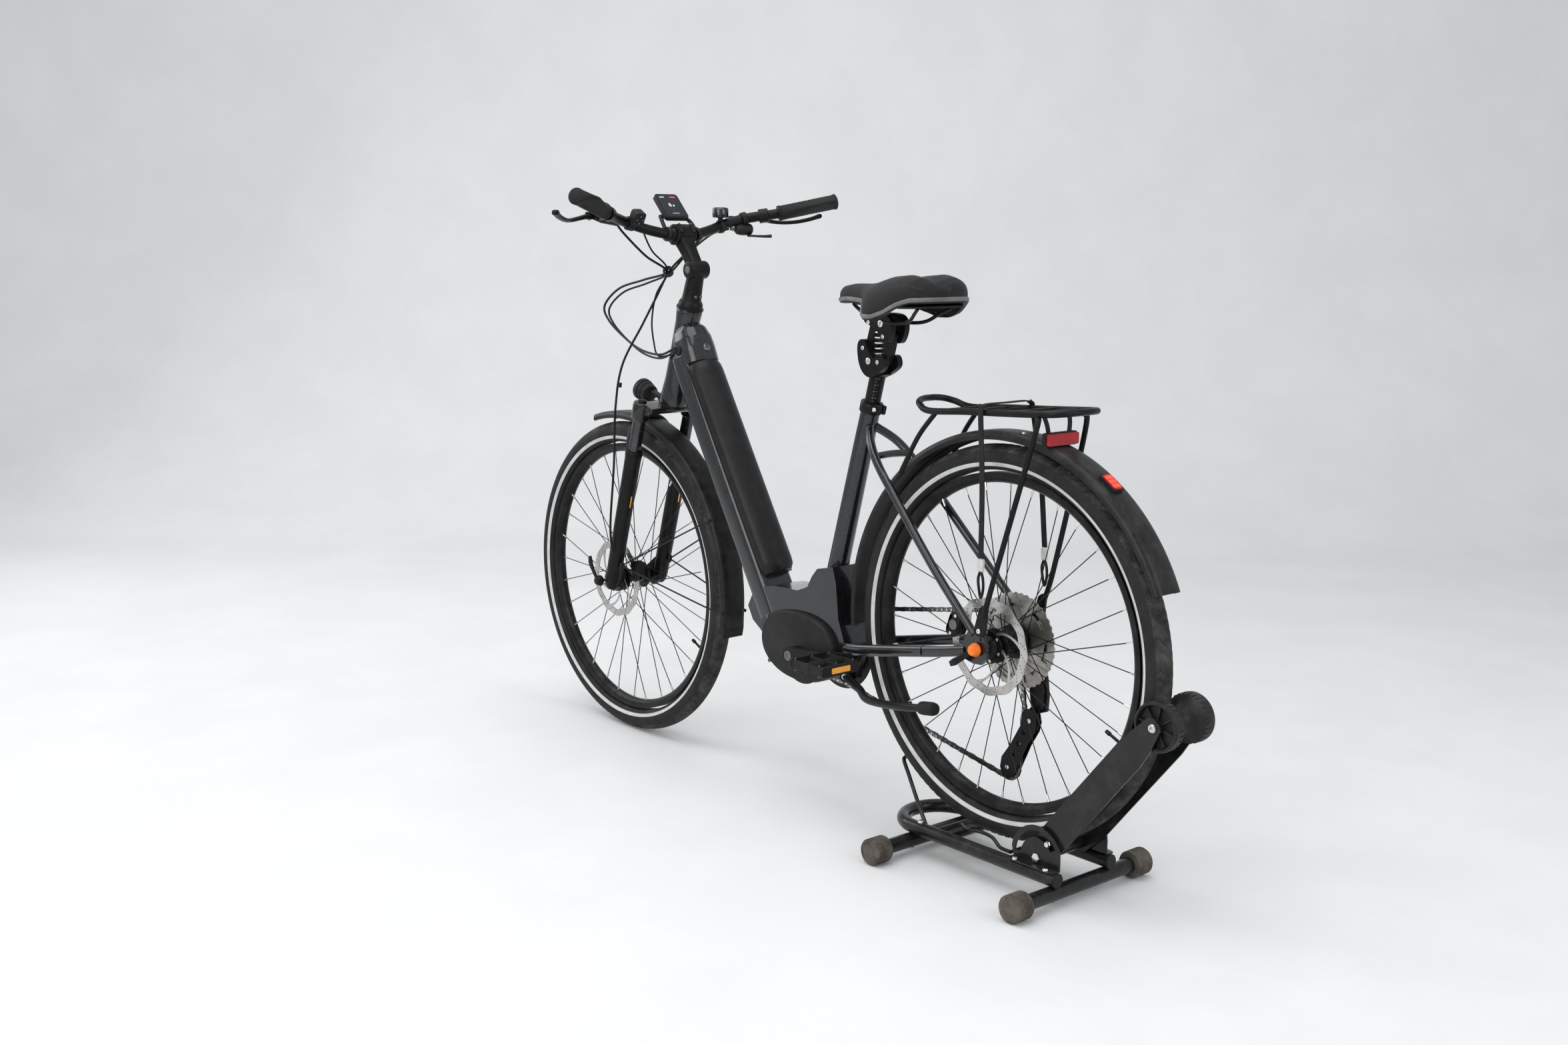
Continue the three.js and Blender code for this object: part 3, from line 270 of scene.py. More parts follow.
def tube(points, radius, sides=16, steps=8, scale=None):
    """A round tube of a radius in mm along a smooth curve through points."""
    path = smooth_path(points, steps)
    return along(path, ring(radius / 1000, sides), None if scale is None
                 else np.interp(np.linspace(0, 1, len(path)), *scale))


def rod(a, b, radius, end=None, sides=24, rim=0.0):
    """A round bar between two points, in mm, with its ends rounded off by rim."""
    a, b = np.asarray(a, float), np.asarray(b, float)
    end = radius if end is None else end
    length = np.linalg.norm(b - a)
    t = np.array([0, rim / 1000, length - rim / 1000, length]) / length if rim else np.array([0, 1.0])
    size = np.array([radius - rim, radius, end, end - rim]) / 1000 if rim else np.array([radius, end]) / 1000
    step = (b - a) / length
    helper = np.array([0, 1.0, 0]) if abs(step[1]) < 0.9 else np.array([1.0, 0, 0])
    side = np.cross(step, helper)
    side /= np.linalg.norm(side)
    top = np.cross(side, step)
    c = ring(1, sides)
    P = a + (b - a) * t[:, None, None] + size[:, None, None] * (side * c[None, :, :1] + top * c[None, :, 1:])
    return grid(P, ring_v=True, caps=True)


def turned(profile, centre, steps=96, axis=(0, 1, 0), closed=True):
    """A profile of (radius, height) in mm, turned about an axis: centre + r (cos a u + sin a v) + h axis."""
    profile, w = np.asarray(profile, float) / 1000, np.asarray(axis, float)
    w = w / np.linalg.norm(w)
    u = np.cross(w, [0, 0, 1.0]) if abs(w[2]) < 0.9 else np.cross(w, [1.0, 0, 0])
    u /= np.linalg.norm(u)
    v = np.cross(w, u)
    a = np.linspace(0, 2 * np.pi, steps, endpoint=False)
    spoke = np.cos(a)[:, None] * u + np.sin(a)[:, None] * v
    P = centre + profile[None, :, :1] * spoke[:, None] + profile[None, :, 1:] * w
    if closed:
        return grid(P, ring_u=True, ring_v=True)
    points, faces = grid(P, ring_u=True)
    n = len(profile)
    faces = list(faces) + [tuple(range(0, steps * n, n))[::-1], tuple(range(n - 1, steps * n, n))]
    return outward(points, faces)


# %% Plates with holes
SIDE_VIEW = (np.array([1.0, 0, 0]), np.array([0, 0, 1.0]), np.array([0, 1.0, 0]))


def plate(outline, low, high, origin=np.zeros(3), axes=SIDE_VIEW, holes=()):
    """An outline of (s, t) pairs, and holes in it, made thick from low to high:
    origin + s axes[0] + t axes[1] + h axes[2]. The two faces are filled with triangles."""
    loops = [np.asarray(l, float) for l in (outline, *holes)]
    flat = np.vstack(loops)
    fill = tessellate_polygon([[Vector((*p, 0)) for p in l] for l in loops])
    n = len(flat)
    base = origin + flat[:, :1] * axes[0] + flat[:, 1:] * axes[1]
    points = np.vstack([base + low * axes[2], base + high * axes[2]])
    area = sum((flat[b] - flat[a])[0] * (flat[c] - flat[a])[1] - (flat[b] - flat[a])[1] * (flat[c] - flat[a])[0] for a,
               b, c in fill)
    faces = [tuple(f) for f in fill] + [tuple(i + n for i in f[::-1]) for f in fill]
    start = 0
    for k, loop in enumerate(loops):
        m = len(loop)
        x, y = loop[:, 0], loop[:, 1]
        turn = np.sign((x * np.roll(y, -1) - y * np.roll(x, -1)).sum()) * (1 if k == 0 else -1) * np.sign(area)
        for i in range(m):
            a, b = start + i, start + (i + 1) % m
            faces.append((b, a, a + n, b + n) if turn > 0 else (a, b, b + n, a + n))
        start += m
    return outward(points, faces)


def side_plate(outline_mm, low, high, holes=()):
    """A plate in the side view, from outline corners that are points of the model; low and high in mm."""
    outline = [(p[0], p[2]) for p in outline_mm]
    return plate(outline, low / 1000, high / 1000, holes=holes)


def circle(centre, radius, count=20):
    """(x, z) corners of a circle round a point of the model, with the radius in mm."""
    return ring(radius / 1000, count) + np.array([centre[0], centre[2]])


def rounded(width, height, corner, count=5):
    """The outline of a rounded rectangle about 0, in the units given."""
    a = np.linspace(0, np.pi / 2, count)
    corners = [(1, 1, 0), (-1, 1, 1), (-1, -1, 2), (1, -1, 3)]
    parts = [np.stack([sx * (width / 2 - corner) + corner * np.cos(a + k * np.pi / 2),
                       sy * (height / 2 - corner) + corner * np.sin(a + k * np.pi / 2)], 1) for sx, sy, k in corners]
    return np.vstack(parts)


def block(centre, axes, size, corner):
    """A rounded bar: a rounded rectangle of size[0] by size[1] mm in the plane of axes[0] and axes[1], size[2]
    thick."""
    return plate(rounded(size[0], size[1], corner) / 1000, -size[2] / 2000, size[2] / 2000, np.asarray(centre), axes)


def screw(centre, axis, radius, high, sides=24, socket=True):
    """A round bolt head with a six-sided socket, on a surface with that normal."""
    r, h = radius, high
    profile = [(0.01, 0), (r, 0), (r, h * 0.75), (r * 0.86, h), (r * 0.5, h), (r * 0.5, h * 0.4), (0.01, h * 0.4)]
    if not socket:
        profile = [(0.01, 0), (r, 0), (r, h * 0.5), (r * 0.8, h * 0.85), (r * 0.4, h), (0.01, h)]
    return turned(profile, np.asarray(centre), sides, axis)


print("shape helpers ready")
# %% [markdown]
# ## Finishes
# Shader maths reads best as sums and products. `Shade` holds one output of a node and adds a Math node for
# each operator, so that `0.4 + noise * 0.2` builds what it says. Patterns read Object coordinates, which are
# metres on the model, so one scale suits every piece.

# %% Shader sockets as numbers
class Shade:
    """One output socket of a material. Arithmetic on it adds Math nodes to the same tree."""

    def __init__(self, tree, socket=None):
        self.tree, self.socket = tree, socket

    def node(self, kind, sockets=(), out=0, stops=None, **settings):
        """Adds any node: its settings first, then its ramp stops, then values or links of its sockets."""
        new = self.tree.nodes.new(kind)
        for name, value in settings.items():
            setattr(new, name, value)
        if stops:
            ramp = new.color_ramp
            for extra in stops[2:]:
                ramp.elements.new(extra[0])
            for element, (place, colour) in zip(ramp.elements, sorted(stops, key=lambda s: s[0])):
                element.position, element.color = place, (*colour, 1)
        for key, value in dict(sockets).items():
            if isinstance(value, Shade):
                self.tree.links.new(value.socket, new.inputs[key])
            else:
                new.inputs[key].default_value = value
        return Shade(self.tree, new.outputs[out])

    def math(self, operation, a, b):
        return self.node("ShaderNodeMath", {0: a, 1: b}, operation=operation)

    def __add__(self, other): return self.math("ADD", self, other)
    def __radd__(self, other): return self.math("ADD", other, self)
    def __sub__(self, other): return self.math("SUBTRACT", self, other)
    def __rsub__(self, other): return self.math("SUBTRACT", other, self)
    def __mul__(self, other): return self.math("MULTIPLY", self, other)
    def __rmul__(self, other): return self.math("MULTIPLY", other, self)
    def __truediv__(self, other): return self.math("DIVIDE", self, other)
    def __pow__(self, other): return self.math("POWER", self, other)
    def __gt__(self, other): return self.math("GREATER_THAN", self, other)
    def __lt__(self, other): return self.math("LESS_THAN", self, other)

    def step(self, low, high):
        """0 below low, 1 above high, and smooth between them."""
        return self.node("ShaderNodeMapRange", {0: self, 1: low, 2: high, 3: 0.0, 4: 1.0},
                         interpolation_type="SMOOTHSTEP")

    def blend(self, a, b):
        """The colour a where this value is 0 and b where it is 1."""
        full = lambda c: c if isinstance(c, Shade) else (*c, 1)
        return self.node("ShaderNodeMix", {0: self, 6: full(a), 7: full(b)}, out=2, data_type="RGBA")


FINISHES = {}


def finish(name, colour, rough, metal=0.0, second=None, spread=0.06, patch=35, grain=900, depth=0.05,
           coat=0.0, wear=None, detail=None, glow=None, specular=0.22):
    """A finish with mottled colour, uneven roughness and fine grain. `patch` is the mottle's scale per metre and
    `grain` the grain's. `wear` is (colour, amount, roughness) of scuffs; `detail` can alter colour and height."""
    material = bpy.data.materials.new(name)
    material.use_nodes = True
    tree = material.node_tree
    shader = tree.nodes["Principled BSDF"]
    shade = Shade(tree)
    place = shade.node("ShaderNodeTexCoord", out=3)
    mottle = shade.node("ShaderNodeTexNoise", {"Vector": place, "Scale": patch, "Detail": 6.0, "Roughness": 0.6})
    fine = shade.node("ShaderNodeTexNoise", {"Vector": place, "Scale": grain, "Detail": 3.0})
    tint = mottle.step(0.35, 0.68).blend(colour, second or tuple(min(1, c * 1.35 + 0.002) for c in colour))
    shine = rough + (mottle - 0.5) * (spread * 2) + (fine - 0.5) * spread
    height = fine
    metalness = metal
    if wear:
        worn_colour, amount, worn_rough = wear
        streaks = shade.node("ShaderNodeTexNoise", {"Vector": place, "Scale": patch * 4.2, "Detail": 9.0,
            "Roughness": 0.72})
        worn = streaks.step(0.74 - amount, 0.80 - amount)
        tint = worn.blend(tint, worn_colour)
        shine = shine + worn * (worn_rough - rough)
        height = height - worn * 0.6
    if detail:
        tint, shine, height = detail(shade, place, tint, shine, height)
    bump = shade.node("ShaderNodeBump", {"Strength": 1.0, "Distance": depth / 1000, "Height": height})
    for key, value in (("Base Color", tint), ("Roughness", shine), ("Normal", bump)):
        tree.links.new(value.socket, shader.inputs[key])
    shader.inputs["Metallic"].default_value = metalness
    shader.inputs["Coat Weight"].default_value = coat
    shader.inputs["Coat Roughness"].default_value = 0.08
    shader.inputs["Specular IOR Level"].default_value = specular
    if glow:
        shader.inputs["Emission Color"].default_value = (*glow[0], 1)
        shader.inputs["Emission Strength"].default_value = glow[1]
    FINISHES[name] = material
    return material


# %% [markdown]
# Painted parts have a dark metallic flake under gloss lacquer. Castings and tubes of the fork, carrier and
# stand are satin black, and the stand is scuffed where it is handled. Mouldings have a fine spark grain.

# %% Paint, plastic and metal
def flakes(shade, place, tint, shine, height):
    """Bright specks of a voronoi cell pattern in the paint."""
    cells = shade.node("ShaderNodeTexVoronoi", {"Vector": place, "Scale": 1500.0}, out=1)
    spark = shade.node("ShaderNodeSeparateColor", {0: cells}).step(0.82, 0.98)
    return (spark * 0.55).blend(tint, (0.12, 0.125, 0.135)), shine, height * 0.4


def brushed(shade, place, tint, shine, height):
    """Fine scratches: noise drawn out along the axle."""
    drawn = shade.node("ShaderNodeMapping", {"Vector": place, "Scale": (900.0, 60.0, 900.0)})
    lines = shade.node("ShaderNodeTexNoise", {"Vector": drawn, "Scale": 1.0, "Detail": 4.0})
    return tint, shine + (lines - 0.5) * 0.16, height * 0.3 + lines


def dusty(amount, colour=(0.16, 0.15, 0.135)):
    """Dust that lies in patches, more on faces that point up."""
    def add(shade, place, tint, shine, height):
        up = shade.node("ShaderNodeSeparateXYZ", {0: shade.node("ShaderNodeNewGeometry", out=1)}, out=2)
        cloud = shade.node("ShaderNodeTexNoise", {"Vector": place, "Scale": 22.0, "Detail": 8.0, "Roughness": 0.7})
        dust = cloud.step(0.42, 0.72) * (0.35 + up.step(-0.2, 0.9) * 0.65) * amount
        return dust.blend(tint, colour), shine + dust * 0.35, height
    return add


finish("frame_paint", (0.01, 0.0105, 0.012), 0.24, 0.55, spread=0.03, coat=0.8, detail=flakes, depth=0.02)
finish("crown_gloss", (0.006, 0.006, 0.0065), 0.16, 0.3, spread=0.03, coat=0.7, depth=0.02)
finish("satin_black", (0.0064, 0.0064, 0.0068), 0.36, 0.35, spread=0.05, depth=0.04)
finish("rim_black", (0.0063, 0.0063, 0.0067), 0.34, 0.4, spread=0.06, detail=dusty(0.25))
finish("stand_paint", (0.008, 0.008, 0.0085), 0.30, 0.15, spread=0.07, depth=0.06, coat=0.25,
       wear=((0.20, 0.18, 0.15), 0.05, 0.55), detail=dusty(0.22))
finish("moulded_black", (0.0086, 0.0086, 0.009), 0.50, spread=0.05, depth=0.10, grain=1500)
finish("cover_black", (0.007, 0.007, 0.0075), 0.38, spread=0.04, depth=0.06, grain=1400)
finish("guard_black", (0.0077, 0.0077, 0.0081), 0.36, spread=0.06, depth=0.08, grain=700, detail=dusty(0.18))
finish("roller_plastic", (0.01, 0.01, 0.0105), 0.46, spread=0.06, depth=0.12, grain=700,
       wear=((0.16, 0.15, 0.14), 0.07, 0.7), detail=dusty(0.3))
finish("bright_steel", (0.62, 0.61, 0.59), 0.24, 1.0, spread=0.06, detail=brushed, depth=0.02)
finish("dark_steel", (0.16, 0.155, 0.15), 0.36, 1.0, spread=0.08, wear=((0.33, 0.31, 0.28), 0.10, 0.3))
finish("sprocket_steel", (0.50, 0.49, 0.47), 0.32, 1.0, second=(0.36, 0.34, 0.31), spread=0.08, patch=60,
       detail=brushed)
finish("rotor_steel", (0.42, 0.41, 0.40), 0.34, 1.0, spread=0.06, detail=brushed, depth=0.02)
finish("black_spoke", (0.021, 0.021, 0.0224), 0.30, 0.9, spread=0.05)
finish("black_chrome", (0.05, 0.05, 0.054), 0.10, 0.9, spread=0.02, depth=0.01, coat=0.4)
finish("orange_cap", (0.75, 0.16, 0.02), 0.42, spread=0.05)
finish("hose_black", (0.006, 0.006, 0.0065), 0.42, spread=0.05, depth=0.03)

# %% [markdown]
# Rubber scatters light and picks up dust. The feet of the stand have worn to a grey brown. The grips have a
# pattern of small dimples where the palm rests, and the saddle cover has leather grain.

# %% Rubber, saddle cover and lamps
def dimples(shade, place, tint, shine, height):
    """Small round dimples on a voronoi pattern."""
    cells = shade.node("ShaderNodeTexVoronoi", {"Vector": place, "Scale": 420.0, "Randomness": 0.25})
    return tint, shine, height * 0.2 + cells.step(0.15, 0.6)


def hide_grain(shade, place, tint, shine, height):
    """Leather grain: ridges between cells of two sizes."""
    wide = shade.node("ShaderNodeTexVoronoi", {"Vector": place, "Scale": 650.0}, feature="DISTANCE_TO_EDGE")
    small = shade.node("ShaderNodeTexVoronoi", {"Vector": place, "Scale": 1300.0}, feature="DISTANCE_TO_EDGE")
    skin = wide.step(0.0, 0.25) + small.step(0.0, 0.2) * 0.4
    return tint, shine - skin * 0.05, skin + height * 0.2


finish("tyre_rubber", (0.0094, 0.0094, 0.0096), 0.62, spread=0.06, depth=0.15, grain=500,
       detail=dusty(0.35, (0.10, 0.095, 0.088)))
finish("tread_rubber", (0.0132, 0.0132, 0.0132), 0.78, spread=0.06, depth=0.2, grain=500, second=(0.05, 0.048, 0.045),
       detail=dusty(0.75, (0.15, 0.142, 0.13)))
finish("reflective_ring", (0.60, 0.61, 0.62), 0.42, spread=0.05, depth=0.03, second=(0.48, 0.49, 0.50),
       detail=dusty(0.2))
finish("foot_rubber", (0.055, 0.046, 0.038), 0.84, spread=0.05, depth=0.3, grain=350, second=(0.12, 0.105, 0.09),
       wear=((0.20, 0.185, 0.165), 0.12, 0.9))
finish("grip_rubber", (0.0086, 0.0086, 0.0088), 0.66, spread=0.05, depth=0.18, detail=dimples)
finish("soft_rubber", (0.009, 0.009, 0.0092), 0.70, spread=0.05, depth=0.1)
finish("saddle_cover", (0.0086, 0.0086, 0.009), 0.52, spread=0.05, depth=0.16, detail=hide_grain)
finish("saddle_bumper", (0.12, 0.122, 0.126), 0.46, spread=0.05, depth=0.06)
finish("thread", (0.06, 0.06, 0.062), 0.8, spread=0.05)
finish("red_lens", (0.30, 0.010, 0.012), 0.16, spread=0.03, depth=0.02, coat=0.6)
finish("lit_red", (1.0, 0.03, 0.02), 0.3, spread=0.02, glow=((1.0, 0.02, 0.01), 4.5))
finish("amber_lens", (0.85, 0.33, 0.03), 0.22, spread=0.03, depth=0.02, coat=0.5)
finish("clear_lens", (0.72, 0.76, 0.80), 0.10, 0.35, spread=0.03, coat=0.6)
finish("screen_glass", (0.010, 0.011, 0.014), 0.08, spread=0.01, depth=0.01, coat=0.6)
finish("screen_light", (0.15, 0.38, 0.60), 0.25, spread=0.02, glow=((0.16, 0.42, 0.75), 0.35))
finish("screen_white", (0.75, 0.78, 0.80), 0.3, spread=0.02, glow=((0.8, 0.85, 0.9), 0.25))
finish("light_mark", (0.55, 0.56, 0.57), 0.5, spread=0.03)
print(len(FINISHES), "finishes")

# %% [markdown]
# ## Floor
# The floor is one sheet that runs flat under the bicycle and then curves up, so no horizon line shows.

# %% Floor and backdrop
def backdrop():
    """z is 0 up to 2.6 m ahead, then follows a quarter circle of radius 1.5 m and goes straight up."""
    x = np.linspace(-9, 9, 49)
    far = np.linspace(-7.0, 12.0, 120)
    z = np.where(far < 2.6, 0, np.where(far < 4.1, 1.5 - np.sqrt(np.clip(2.25 - (far - 2.6) ** 2, 0, None)),
                                        1.5 + (far - 4.1) * 3))
    level = np.minimum(far, 4.1)
    ahead = np.array([math.cos(yaw), math.sin(yaw), 0])
    aside = np.array([-math.sin(yaw), math.cos(yaw), 0])
    P = level[:, None, None] * ahead + x[None, :, None] * aside * 1.6 + z[:, None, None] * np.array([0, 0, 1.0])
    return P


floor_points = backdrop()
cells = [(i * 49 + j, i * 49 + j + 1, (i + 1) * 49 + j + 1, (i + 1) * 49 + j) for i in range(119) for j in range(48)]
floor_mesh = bpy.data.meshes.new("floor")
floor_mesh.from_pydata(floor_points.reshape(-1, 3), [], cells)
floor_mesh.polygons.foreach_set("use_smooth", np.ones(len(cells), bool))
finish("pale_floor", (0.72, 0.725, 0.73), 0.62, second=(0.75, 0.755, 0.76), spread=0.03, patch=3, grain=60, depth=0.1)
floor_mesh.materials.append(FINISHES["pale_floor"])
floor = bpy.data.objects.new("floor", floor_mesh)
bpy.context.scene.collection.objects.link(floor)
floor.location.z = -0.0005
print("floor", len(cells), "faces")

# %% [markdown]
# Every node that keeps its CAD shape takes a finish here. Pieces made below replace most of them.

# %% Finishes of the CAD nodes
SLOT_FINISH = {
    "frame_paint": "frame_paint", "satin_black": "satin_black", "stand_paint": "stand_paint", "tyre": "tyre_rubber",
    "rubber": "soft_rubber", "black_plastic": "moulded_black", "steel": "bright_steel", "screen": "moulded_black",
    "saddle_cover": "saddle_cover",
}
NODE_FINISH = {"chain": "dark_steel", "cassette": "sprocket_steel", "headlight": "moulded_black"}
for part in frame["record"]["subparts"]:
    node = frame["nodes"][part["node"]]
    chosen = FINISHES[NODE_FINISH.get(part["node"], SLOT_FINISH[part["material_slot"]])]
    node.data.materials.clear()
    node.data.materials.append(chosen)
# %% [markdown]
# ## Tyres
# The tread is a row of slanted grooves either side of a centre channel, cut into one grid round the wheel.
# A reflective ring runs round each side wall, on its own faces.

# %% Tyres
def tyre(name, hub, body, node):
    """Radius and width of the section: r = 336 + 25 cos a, y = 25 sin a, from bead to bead. The grooves lower r by
    1.6 mm where the slant, 26 a + 150 t, is near a whole number, and at the middle."""
    a = np.radians(np.concatenate([np.linspace(-148, -64, 15), np.linspace(-58, 58, 33), np.linspace(64, 148, 15)]))
    t = np.linspace(0, 2 * np.pi, 960, endpoint=False)
    slant = (t[:, None] * 132 / (2 * np.pi) + np.abs(np.degrees(a))[None] / 46) % 1
    tread = np.abs(np.degrees(a))[None] < 52
    groove = np.exp(-((slant - 0.5) / 0.15) ** 4) * tread * (np.abs(np.degrees(a))[None] > 9)
    middle = np.exp(-((np.abs(np.degrees(a)) - 6) / 2.6) ** 4)[None] * np.ones_like(slant)
    r = 336 + 25 * np.cos(a)[None] - 1.5 * np.clip(groove + middle, 0, 1)
    r = np.maximum(r, 312)
    y = np.broadcast_to(24.6 * np.sin(a)[None], r.shape)
    P = hub + np.stack([r * np.cos(t)[:, None], y, r * np.sin(t)[:, None]], -1) / 1000
    points, faces = grid(P, ring_u=True, ring_v=True)
    quads = np.array(faces)
    mid = points[quads].mean(1) - hub
    radius, side = np.hypot(mid[:, 0], mid[:, 2]) * 1000, np.abs(mid[:, 1]) * 1000
    is_ring = (radius > 323.0) & (radius < 328.1) & (side > 18)
    is_tread = side < 20.5
    is_tread &= radius > 336
    piece = Maker(name)
    for mask, look_of in ((~is_ring & ~is_tread, "tyre_rubber"), (is_tread & ~is_ring, "tread_rubber"),
                          (is_ring, "reflective_ring")):
        part = quads[mask]
        piece.faces.extend([tuple(q) for q in part.tolist()])
        piece.finishes.append(look_of)
        piece.slots.extend([len(piece.finishes) - 1] * len(part))
    piece.points, piece.count = [points], len(points)
    return piece.done(body, node, smooth=40)


tyre("front_tyre_tread", FRONT_HUB, "front_wheel", "front_tyre")
tyre("rear_tyre_tread", REAR_HUB, "rear_wheel", "rear_tyre")

# %% [markdown]
# ## Rims, spokes and rotors
# Thirty-two thin black spokes cross twice on the way from the hub's flanges to silver nipples in the rim.
# The rim is a box section with a slight shoulder, and a valve stands up from it.

# %% Rim and spokes
SPOKE_COUNT = 32


def rim(name, hub, body, node):
    """A box section turned round the hub, 25 mm wide, with hooked edges, and a valve."""
    section = [(310.4, -9), (310.4, 9), (314, 11.3), (315.5, 12.6), (313, 13.0), (304, 13.0), (300, 12.2), (296, 9),
               (292.5, 5.5),
               (291.2, 2), (291.2, -2), (292.5, -5.5), (296, -9), (300, -12.2), (304, -13.0), (313, -13.0),
               (315.5, -12.6), (314, -11.3)]
    section = [(min(r, 310.4), s) for r, s in section]
    piece = Maker(name).add(turned(section, hub, 160), "rim_black")
    foot, tip = round_hub(hub, 292, 205), round_hub(hub, 258, 205)
    piece.add(rod(foot, tip, 2.9, 2.6, 12), "satin_black").add(rod(round_hub(hub, 268, 205), tip, 4.0, 3.6, 14, 0.8),
        "moulded_black")
    return piece.done(body, node)


def spokes(name, hub, body, node, profile, flanges):
    """Spoke k leaves the rim at 360 k / 32 and meets its flange 58 degrees on, ahead or behind in turn."""
    piece = Maker(name).add(turned(profile, hub, 48), "satin_black")
    for k in range(SPOKE_COUNT):
        side, lead = (1 if k % 2 else -1), (1 if (k // 2) % 2 else -1)
        angle = 360 * k / SPOKE_COUNT
        outer = round_hub(hub, 293, angle, side * 2.5)
        flange = flanges[0] if side > 0 else flanges[1]
        inner = round_hub(hub, 26, angle + lead * 62, flange + side * lead * 1.8)
        piece.add(rod(inner, outer, 1.0, sides=6), "black_spoke")
        head = outer + (inner - outer) / np.linalg.norm(inner - outer) * 0.015
        piece.add(rod(outer, head, 2.2, 1.7, 8), "bright_steel")
    return piece.done(body, node)


FRONT_HUB_PROFILE = [(6.4, -49.6), (11, -49.6), (12.5, -46), (12.5, -36), (16, -33), (29.5, -32), (30.5, -30),
                     (30, -27.5), (20, -25),
                     (15, -20), (14, 0), (15, 16), (20, 21), (29.5, 23), (30.5, 25.5), (29.5, 28), (22, 30), (20.6, 33),
                     (20.6, 45),
                     (18, 46.5), (12.5, 47), (11, 49.6), (6.4, 49.6)]
REAR_HUB_PROFILE = [(6.4, -66), (12, -66), (16, -63), (16, -28), (24, -26.5), (31, -25), (32, -22.5), (31, -20),
                    (22, -17), (17, -10),
                    (16, 4), (17, 16), (22, 22), (31, 25), (32, 27.5), (31, 30), (24, 32), (20.6, 34), (20.6, 46),
                    (18, 48), (14, 52),
                    (13, 64), (11, 66), (6.4, 66)]
rim("front_rim_box", FRONT_HUB, "front_wheel", "front_rim")
rim("rear_rim_box", REAR_HUB, "rear_wheel", "rear_rim")
spokes("front_spokes", FRONT_HUB, "front_wheel", "front_hub", FRONT_HUB_PROFILE, (25.5, -29.5))
spokes("rear_spokes", REAR_HUB, "rear_wheel", "rear_hub", REAR_HUB_PROFILE, (27.5, -22.5))


# %% Brake rotors
def rotor(name, hub, body, node):
    """Outer edge r = 89 + 1.2 cos 12 a; the band is pierced by holes in slanting rows, and six swept arms join it to
    the hub."""
    a = np.linspace(0, 2 * np.pi, 240, endpoint=False)
    band = lambda base, wave: np.stack([(base + wave * np.cos(12 * a)) * np.cos(a),
                                        (base + wave * np.cos(12 * a)) * np.sin(a)], 1) / 1000
    holes = [band(73, 1.0)[::2]]
    for k in range(12):
        for j, r in enumerate((76.8, 80.6, 84.6)):
            for lead in (0, 1):
                angle = 2 * np.pi * (k + 0.5 * lead + 0.11 * j) / 12
                holes.append(ring(0.00165, 8) + r / 1000 * np.array([math.cos(angle), math.sin(angle)]))
    axes = (np.array([1.0, 0, 0]), np.array([0, 0, 1.0]), np.array([0, 1.0, 0]))
    piece = Maker(name).add(plate(band(88.6, 1.2), 0.0421, 0.0439, hub, axes, holes), "rotor_steel")
    t = np.linspace(0, 1, 9)
    for k in range(6):
        angle = 2 * np.pi * k / 6 + 0.9 * t
        r = 26 + 49 * t
        mid = np.stack([r * np.cos(angle), r * np.sin(angle)], 1)
        width = (7 - 3.4 * np.sin(np.pi * t))[:, None] * 0.5
        step = np.gradient(mid, axis=0)
        across = np.stack([-step[:, 1], step[:, 0]], 1) / np.linalg.norm(step, axis=1)[:, None]
        outline = np.vstack([mid + across * width, (mid - across * width)[::-1]]) / 1000
        piece.add(plate(outline, 0.0423, 0.0437, hub, axes), "rotor_steel")
    piece.add(turned([(20.8, 42.2), (30, 42.2), (31, 43), (30, 45.2), (20.8, 45.2)], hub, 48), "satin_black")
    for k in range(6):
        piece.add(screw(round_hub(hub, 25.5, 60 * k + 20, 45.2), (0, 1, 0), 3, 1.2, 12), "bright_steel")
    return piece.done(body, node)


rotor("front_rotor_disc", FRONT_HUB, "front_wheel", "front_rotor")
rotor("rear_rotor_disc", REAR_HUB, "rear_wheel", "rear_rotor")

# %% [markdown]
# ## Main frame
# Hydroformed aluminium tubes are welded at the head tube and the motor bracket. Each tube is a rounded section
# carried along its line, and a small bead stands for each weld.

# %% Tubes of the frame
def section_tube(points, width, depth, corner, up, count=6, steps=6, scale=None):
    """A rounded-rectangle section, in mm, along a curve through points."""
    path = smooth_path(points, steps)
    grow = None if scale is None else np.interp(np.linspace(0, 1, len(path)), *scale)
    return along(path, rounded(width, depth, corner, count) / 1000, grow, up)


def weld(centre, axis, radius, bead=1.6, tall=1.0, scallops=26):
    """A torus round a joint whose thickness swells in scallops: bead (1 + 0.25 cos n a)."""
    axis = np.asarray(axis, float) / np.linalg.norm(axis)
    u = np.cross(axis, [0, 1.0, 0]) if abs(axis[1]) < 0.9 else np.cross(axis, [1.0, 0, 0])
    u /= np.linalg.norm(u)
    v = np.cross(axis, u)
    a = np.linspace(0, 2 * np.pi, scallops * 4, endpoint=False)[:, None, None]
    b = np.linspace(0, 2 * np.pi, 8, endpoint=False)[None, :, None]
    out = np.cos(a) * u + np.sin(a) * v * tall
    size = bead * (1 + 0.25 * np.cos(scallops * a))
    P = centre + (out * (radius + size * np.cos(b)) + axis * size * np.sin(b) * 1.4) / 1000
    return grid(P, ring_u=True, ring_v=True)


